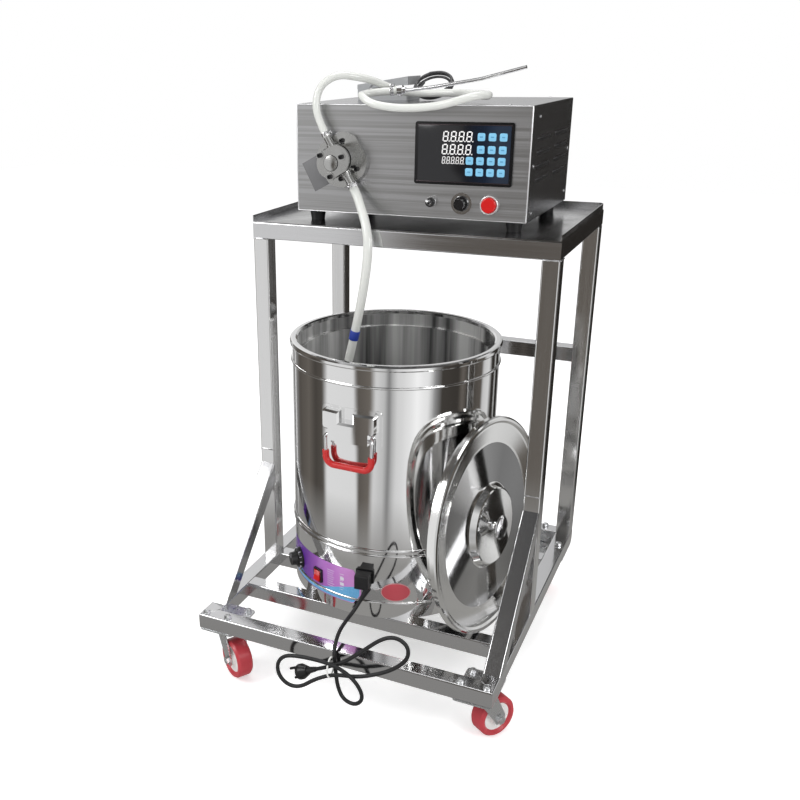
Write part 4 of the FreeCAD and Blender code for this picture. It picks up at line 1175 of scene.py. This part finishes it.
def ring(place, radius, thickness, segments, turn=(math.pi / 2, 0, 0), scale=(1, 1, 1)):
    """A round ring about a place in millimetres; unless it is turned, it faces the front."""
    deselect_all()
    bpy.ops.mesh.primitive_torus_add(
        major_radius=radius * MM, minor_radius=thickness * MM, major_segments=segments,
        minor_segments=segments // 4,
    )
    obj = bpy.context.object
    obj.scale = scale
    obj.rotation_euler = turn
    settle(obj)
    return shift(obj, place)


push_ring = ring((PUSH_X, CASE_FRONT - 4.9, CONTROLS_Z), 14.1, 1.5, 64)
finish_piece(push_ring, "push_button_ring", bezel_white)
toggle_washer = ring((TOGGLE_X, CASE_FRONT - 0.9, CONTROLS_Z), 7.9, 0.9, 48)
finish_piece(toggle_washer, "toggle_washer", bezel_white)
print("control rings and cap")

# %% [markdown]
# ## The gear pump
# The cover carries a round boss, and socket-head screws hold cover and flange. One screw is a
# drum with a six-sided recess, and it is copied to all five places. A hose clamp is a band
# around the hose with a housing and a worm screw, made at the origin and turned onto each hose.

# %% Pump boss, screws and plate
COVER_FACE = -58.7
FLANGE_FACE = -25.7
oxide_black = grained("oxide_black", (0.015, 0.015, 0.016), 0.4, 0.2, 0.3, 0.03)
plate_grey = grained("plate_grey", (0.17, 0.17, 0.175), 0.0, 0.45, 0.55, 0.02)

COVER_SCREWS = ((-140.0, 941.4), (-99.8, 940.1), (-121.0, 906.5))
COVER_RADIUS = 24.4
COVER_SPAN = 14
PLATE_THICK = 5.0
PLATE_FACE = COVER_FACE - 4.6


def flush(obj):
    """Round an object's depths to a micron, so that flush faces share one plane exactly."""
    for vertex in obj.data.vertices:
        vertex.co.y = round(vertex.co.y / MM, 3) * MM
    return obj


def cover_plate():
    """The front plate: an oblong that follows the cover, with an ear under each screw."""
    back = COVER_FACE + 0.4
    low, high = [(x, back, z) for x, _, z in (pump_place(0, 0), pump_place(0, COVER_SPAN))]
    waist = block((-COVER_RADIUS, -PLATE_THICK, 0), (COVER_RADIUS, 0, COVER_SPAN))
    shift(turn_mesh(waist, 90 - math.degrees(PUMP_TILT), "Y"), low)
    others = [drum(high, FORWARD, COVER_RADIUS, PLATE_THICK, 64), waist]
    others += [drum((x, back, z), FORWARD, 7.2, PLATE_THICK + 1, 40) for x, z in COVER_SCREWS]
    solid = flush(drum(low, FORWARD, COVER_RADIUS, PLATE_THICK, 64))
    for other in others:
        combine(solid, flush(other), "UNION")
    soften(solid, 0.7)
    return solid


finish_piece(cover_plate(), "pump_front_plate", pump_steel, smooth=20)
# A black ring around the boss: painted shade in the groove.
groove = drum((-119.8, PLATE_FACE + 0.1, 929), FORWARD, 13.7, 0.4, 64)
finish_piece(groove, "pump_boss_groove", painted_shade_black)
boss_back = (-119.8, PLATE_FACE + 0.2, 929)
boss = drum(boss_back, FORWARD, 12.9, 2.2, 64, 0.7)
boss_top = drum(boss_back, FORWARD, 10.4, 2.7, 64, 0.4)
finish_piece(join_all([boss, boss_top]), "pump_boss", pump_steel)


def socket_screw(radius, height):
    """A socket-head screw at the origin, its recess towards the front."""
    head = drum((0, 0.1, 0), FORWARD, radius, height, 32, 0.6)
    cut_out(head, drum((0, -height + 2.2, 0), FORWARD, radius * 0.55, 4, 6))
    return head


screw = socket_screw(4.0, 5.0)
sockets = []
for x, z in COVER_SCREWS:
    sockets.append(copy_to(screw, (x, COVER_FACE - 5.5, z)))
for along, across in ((-27.4, 24.2), (27.4, 24.2), (-27.4, -10.2), (27.4, -10.2)):
    x, _, z = pump_place(along, across)
    sockets.append(copy_to(screw, (x, FLANGE_FACE, z)))
discard(screw)
finish_piece(join_all(sockets), "pump_screws", oxide_black, smooth=35)

plate = block((-17, -0.5, -27), (17, 0.1, 27), 0.2)
shift(turn_mesh(plate, -28, "Y"), (-169.5, CASE_FRONT, 905.4))
finish_piece(plate, "pump_plate", plate_grey)
print("pump screws", len(sockets))


# %% Hose clamps
def clamp_model(hose_radius):
    """A clamp around the Z axis at the origin: band, housing and worm screw."""
    band = drum((0, 0, -3.5), (0, 0, 1), hose_radius + 1.0, 7, 48, 0.4)
    cut_out(band, drum((0, 0, -5), (0, 0, 1), hose_radius + 0.1, 10, 48))
    housing = block((-5, hose_radius + 0.6, -3.9), (5, hose_radius + 4.6, 3.9), 0.7)
    worm = drum((-7.5, hose_radius + 2.8, 0), (1, 0, 0), 2.0, 13, 20, 0.4)
    worm_head = drum((5.2, hose_radius + 2.8, 0), (1, 0, 0), 3.3, 3.2, 6, 0.5)
    cut_out(worm_head, block((7.4, hose_radius + 0.5, -0.5), (9, hose_radius + 5, 0.5)))
    return join_all([band, housing, worm, worm_head])


def place_on_line(model, line, near, roll_deg):
    """Turn a piece made around Z onto a line, at the line's point nearest to a place."""
    near = Vector(near) * MM
    index = min(range(1, len(line) - 1), key=lambda i: (line[i] - near).length)
    along = (line[index + 1] - line[index - 1]).normalized()
    turn = Vector((0, 0, 1)).rotation_difference(along).to_matrix().to_4x4()
    model.data.transform(turn @ Matrix.Rotation(math.radians(roll_deg), 4, "Z"))
    model.data.transform(Matrix.Translation(line[index]))
    return model


clamps = [
    place_on_line(clamp_model(6.5), delivery_line, pump_place(-50, 7), 0),
    place_on_line(clamp_model(8.0), suction_line, pump_place(50, 7), 150),
    place_on_line(clamp_model(6.5), delivery_line, (-52, 51.5, 1042), 90),
]
finish_piece(join_all(clamps), "hose_clamps", bright_steel, smooth=35)

band_blue = grained("band_blue", (0.03, 0.06, 0.36), 0.0, 0.3, 0.4, 0.03)
band = drum((0, 0, -9), (0, 0, 1), 8.8, 18, 48, 0.4)
cut_out(band, drum((0, 0, -12), (0, 0, 1), 8.05, 24, 48))
finish_piece(place_on_line(band, suction_line, (-66, -82, 637), 0), "hose_band", band_blue)
print("clamps", len(clamps))

# %% Tie around the bundled lead
tie = ring((-2, -330.0, 110), 15, 1.5, 48, turn=(0, math.pi / 2, 0), scale=(1.25, 0.92, 1.0))
finish_piece(tie, "lead_tie", hub_white)
print("tie around the lead")

# %% [markdown]
# ## Fasteners on the cart
# Every caster is bolted through its slotted plate. One bolt head with its washer is made at the
# origin and copied, with a mesh of its own, to each slot that shows. The mitred corners carry
# weld beads: slim rounded bars across the corner, slightly proud of the tube.

# %% Caster bolts
RAIL_TOP = 133.0
PLATE_TOP = 103.0
BOLT_IN = 223.5
BOLT_OUT = 268.5
BOLT_END = 304
BOLT_NEAR = 229


def hex_bolt():
    """A hexagon head on a washer, standing on the origin."""
    washer = drum((0, 0, 0), (0, 0, 1), 6.9, 1.2, 32, 0.3)
    head = drum((0, 0, 1.2), (0, 0, 1), 6.2, 4.6, 6, 0.6)
    return join_all([washer, head])


bolt = hex_bolt()
bolts = []
for side in (-1, 1):
    for end in (-1, 1):
        bolts.append(copy_to(bolt, (side * BOLT_IN, end * BOLT_END, RAIL_TOP)))
        bolts.append(copy_to(bolt, (side * BOLT_OUT, end * BOLT_NEAR, RAIL_TOP)))
        bolts.append(copy_to(bolt, (side * BOLT_IN, end * BOLT_NEAR, PLATE_TOP)))
    bolts.append(copy_to(bolt, (side * BOLT_OUT, -BOLT_END, RAIL_TOP)))
discard(bolt)
finish_piece(join_all(bolts), "caster_bolts", zinc, smooth=35)
print("caster bolts", len(bolts))


# %% Weld beads
def weld(start, end):
    """A slim bead between two points, half sunk into the tubes."""
    run = Vector(end) - Vector(start)
    return drum(start, run, 1.1, run.length, 12, 0.5)


LEG_IN = 251
LEG_OUT = 279
LEG_FRONT = -58.3
LEG_TOP = 789.5
BRACE_TOP = 371
beads = []
for side in (-1, 1):
    for end in (-1, 1):
        corner = (side * LEG_OUT, end * 313, RAIL_TOP - 0.4)
        beads.append(weld(corner, (side * LEG_IN, end * 285, RAIL_TOP - 0.4)))
        beads.append(weld((side * 250.3, end * 284, 104), (side * 250.3, end * 284, 132)))
    for z in (LEG_TOP, BRACE_TOP):
        beads.append(weld((side * LEG_IN, LEG_FRONT, z), (side * LEG_OUT, LEG_FRONT, z)))
    beads.append(weld((side * 280.2, -57, LEG_TOP), (side * 280.2, -29, LEG_TOP)))
finish_piece(join_all(beads), "weld_beads", tray_steel)
print("weld beads", len(beads))

# %% Knob skirt with plain marks
SKIRT_DEPTH = 6.5


def on_knob(obj):
    """Turn a piece drawn around the X axis at the knob's place onto the barrel."""
    return shift(turn_mesh(obj, DIAL_DEG, "Z"), (BARREL_X, 0, 0))


deselect_all()
bpy.ops.mesh.primitive_cone_add(
    vertices=64, radius1=20.5 * MM, radius2=17.6 * MM, depth=SKIRT_DEPTH * MM,
    rotation=(0, math.pi / 2, 0),
)
skirt = bpy.context.object
settle(skirt)
shift(skirt, (SKIN_RADIUS + 2.0 + SKIRT_DEPTH / 2, 0, LABEL_Z))
cut_out(skirt, drum((SKIN_RADIUS, 0, LABEL_Z), (1, 0, 0), 14.0, 20, 48))
soften(skirt, 0.5)
on_knob(skirt)
finish_piece(skirt, "thermostat_skirt", black_plastic, body="thermostat")
ticks = []
for step in range(11):
    tick = block((SKIN_RADIUS + 3.6, -0.55, 18.9), (SKIN_RADIUS + 7.6, 0.55, 20.3), 0.15)
    ticks.append(shift(turn_mesh(tick, 30 + 30 * step, "X"), (0, 0, LABEL_Z)))
line = block((SKIN_RADIUS + 19.4, -0.6, 3), (SKIN_RADIUS + 20.2, 0.6, 11.5), 0.2)
ticks.append(shift(line, (0, 0, LABEL_Z)))
finish_piece(on_knob(join_all(ticks)), "thermostat_marks", pale_print, body="thermostat")
print("knob marks", len(ticks))
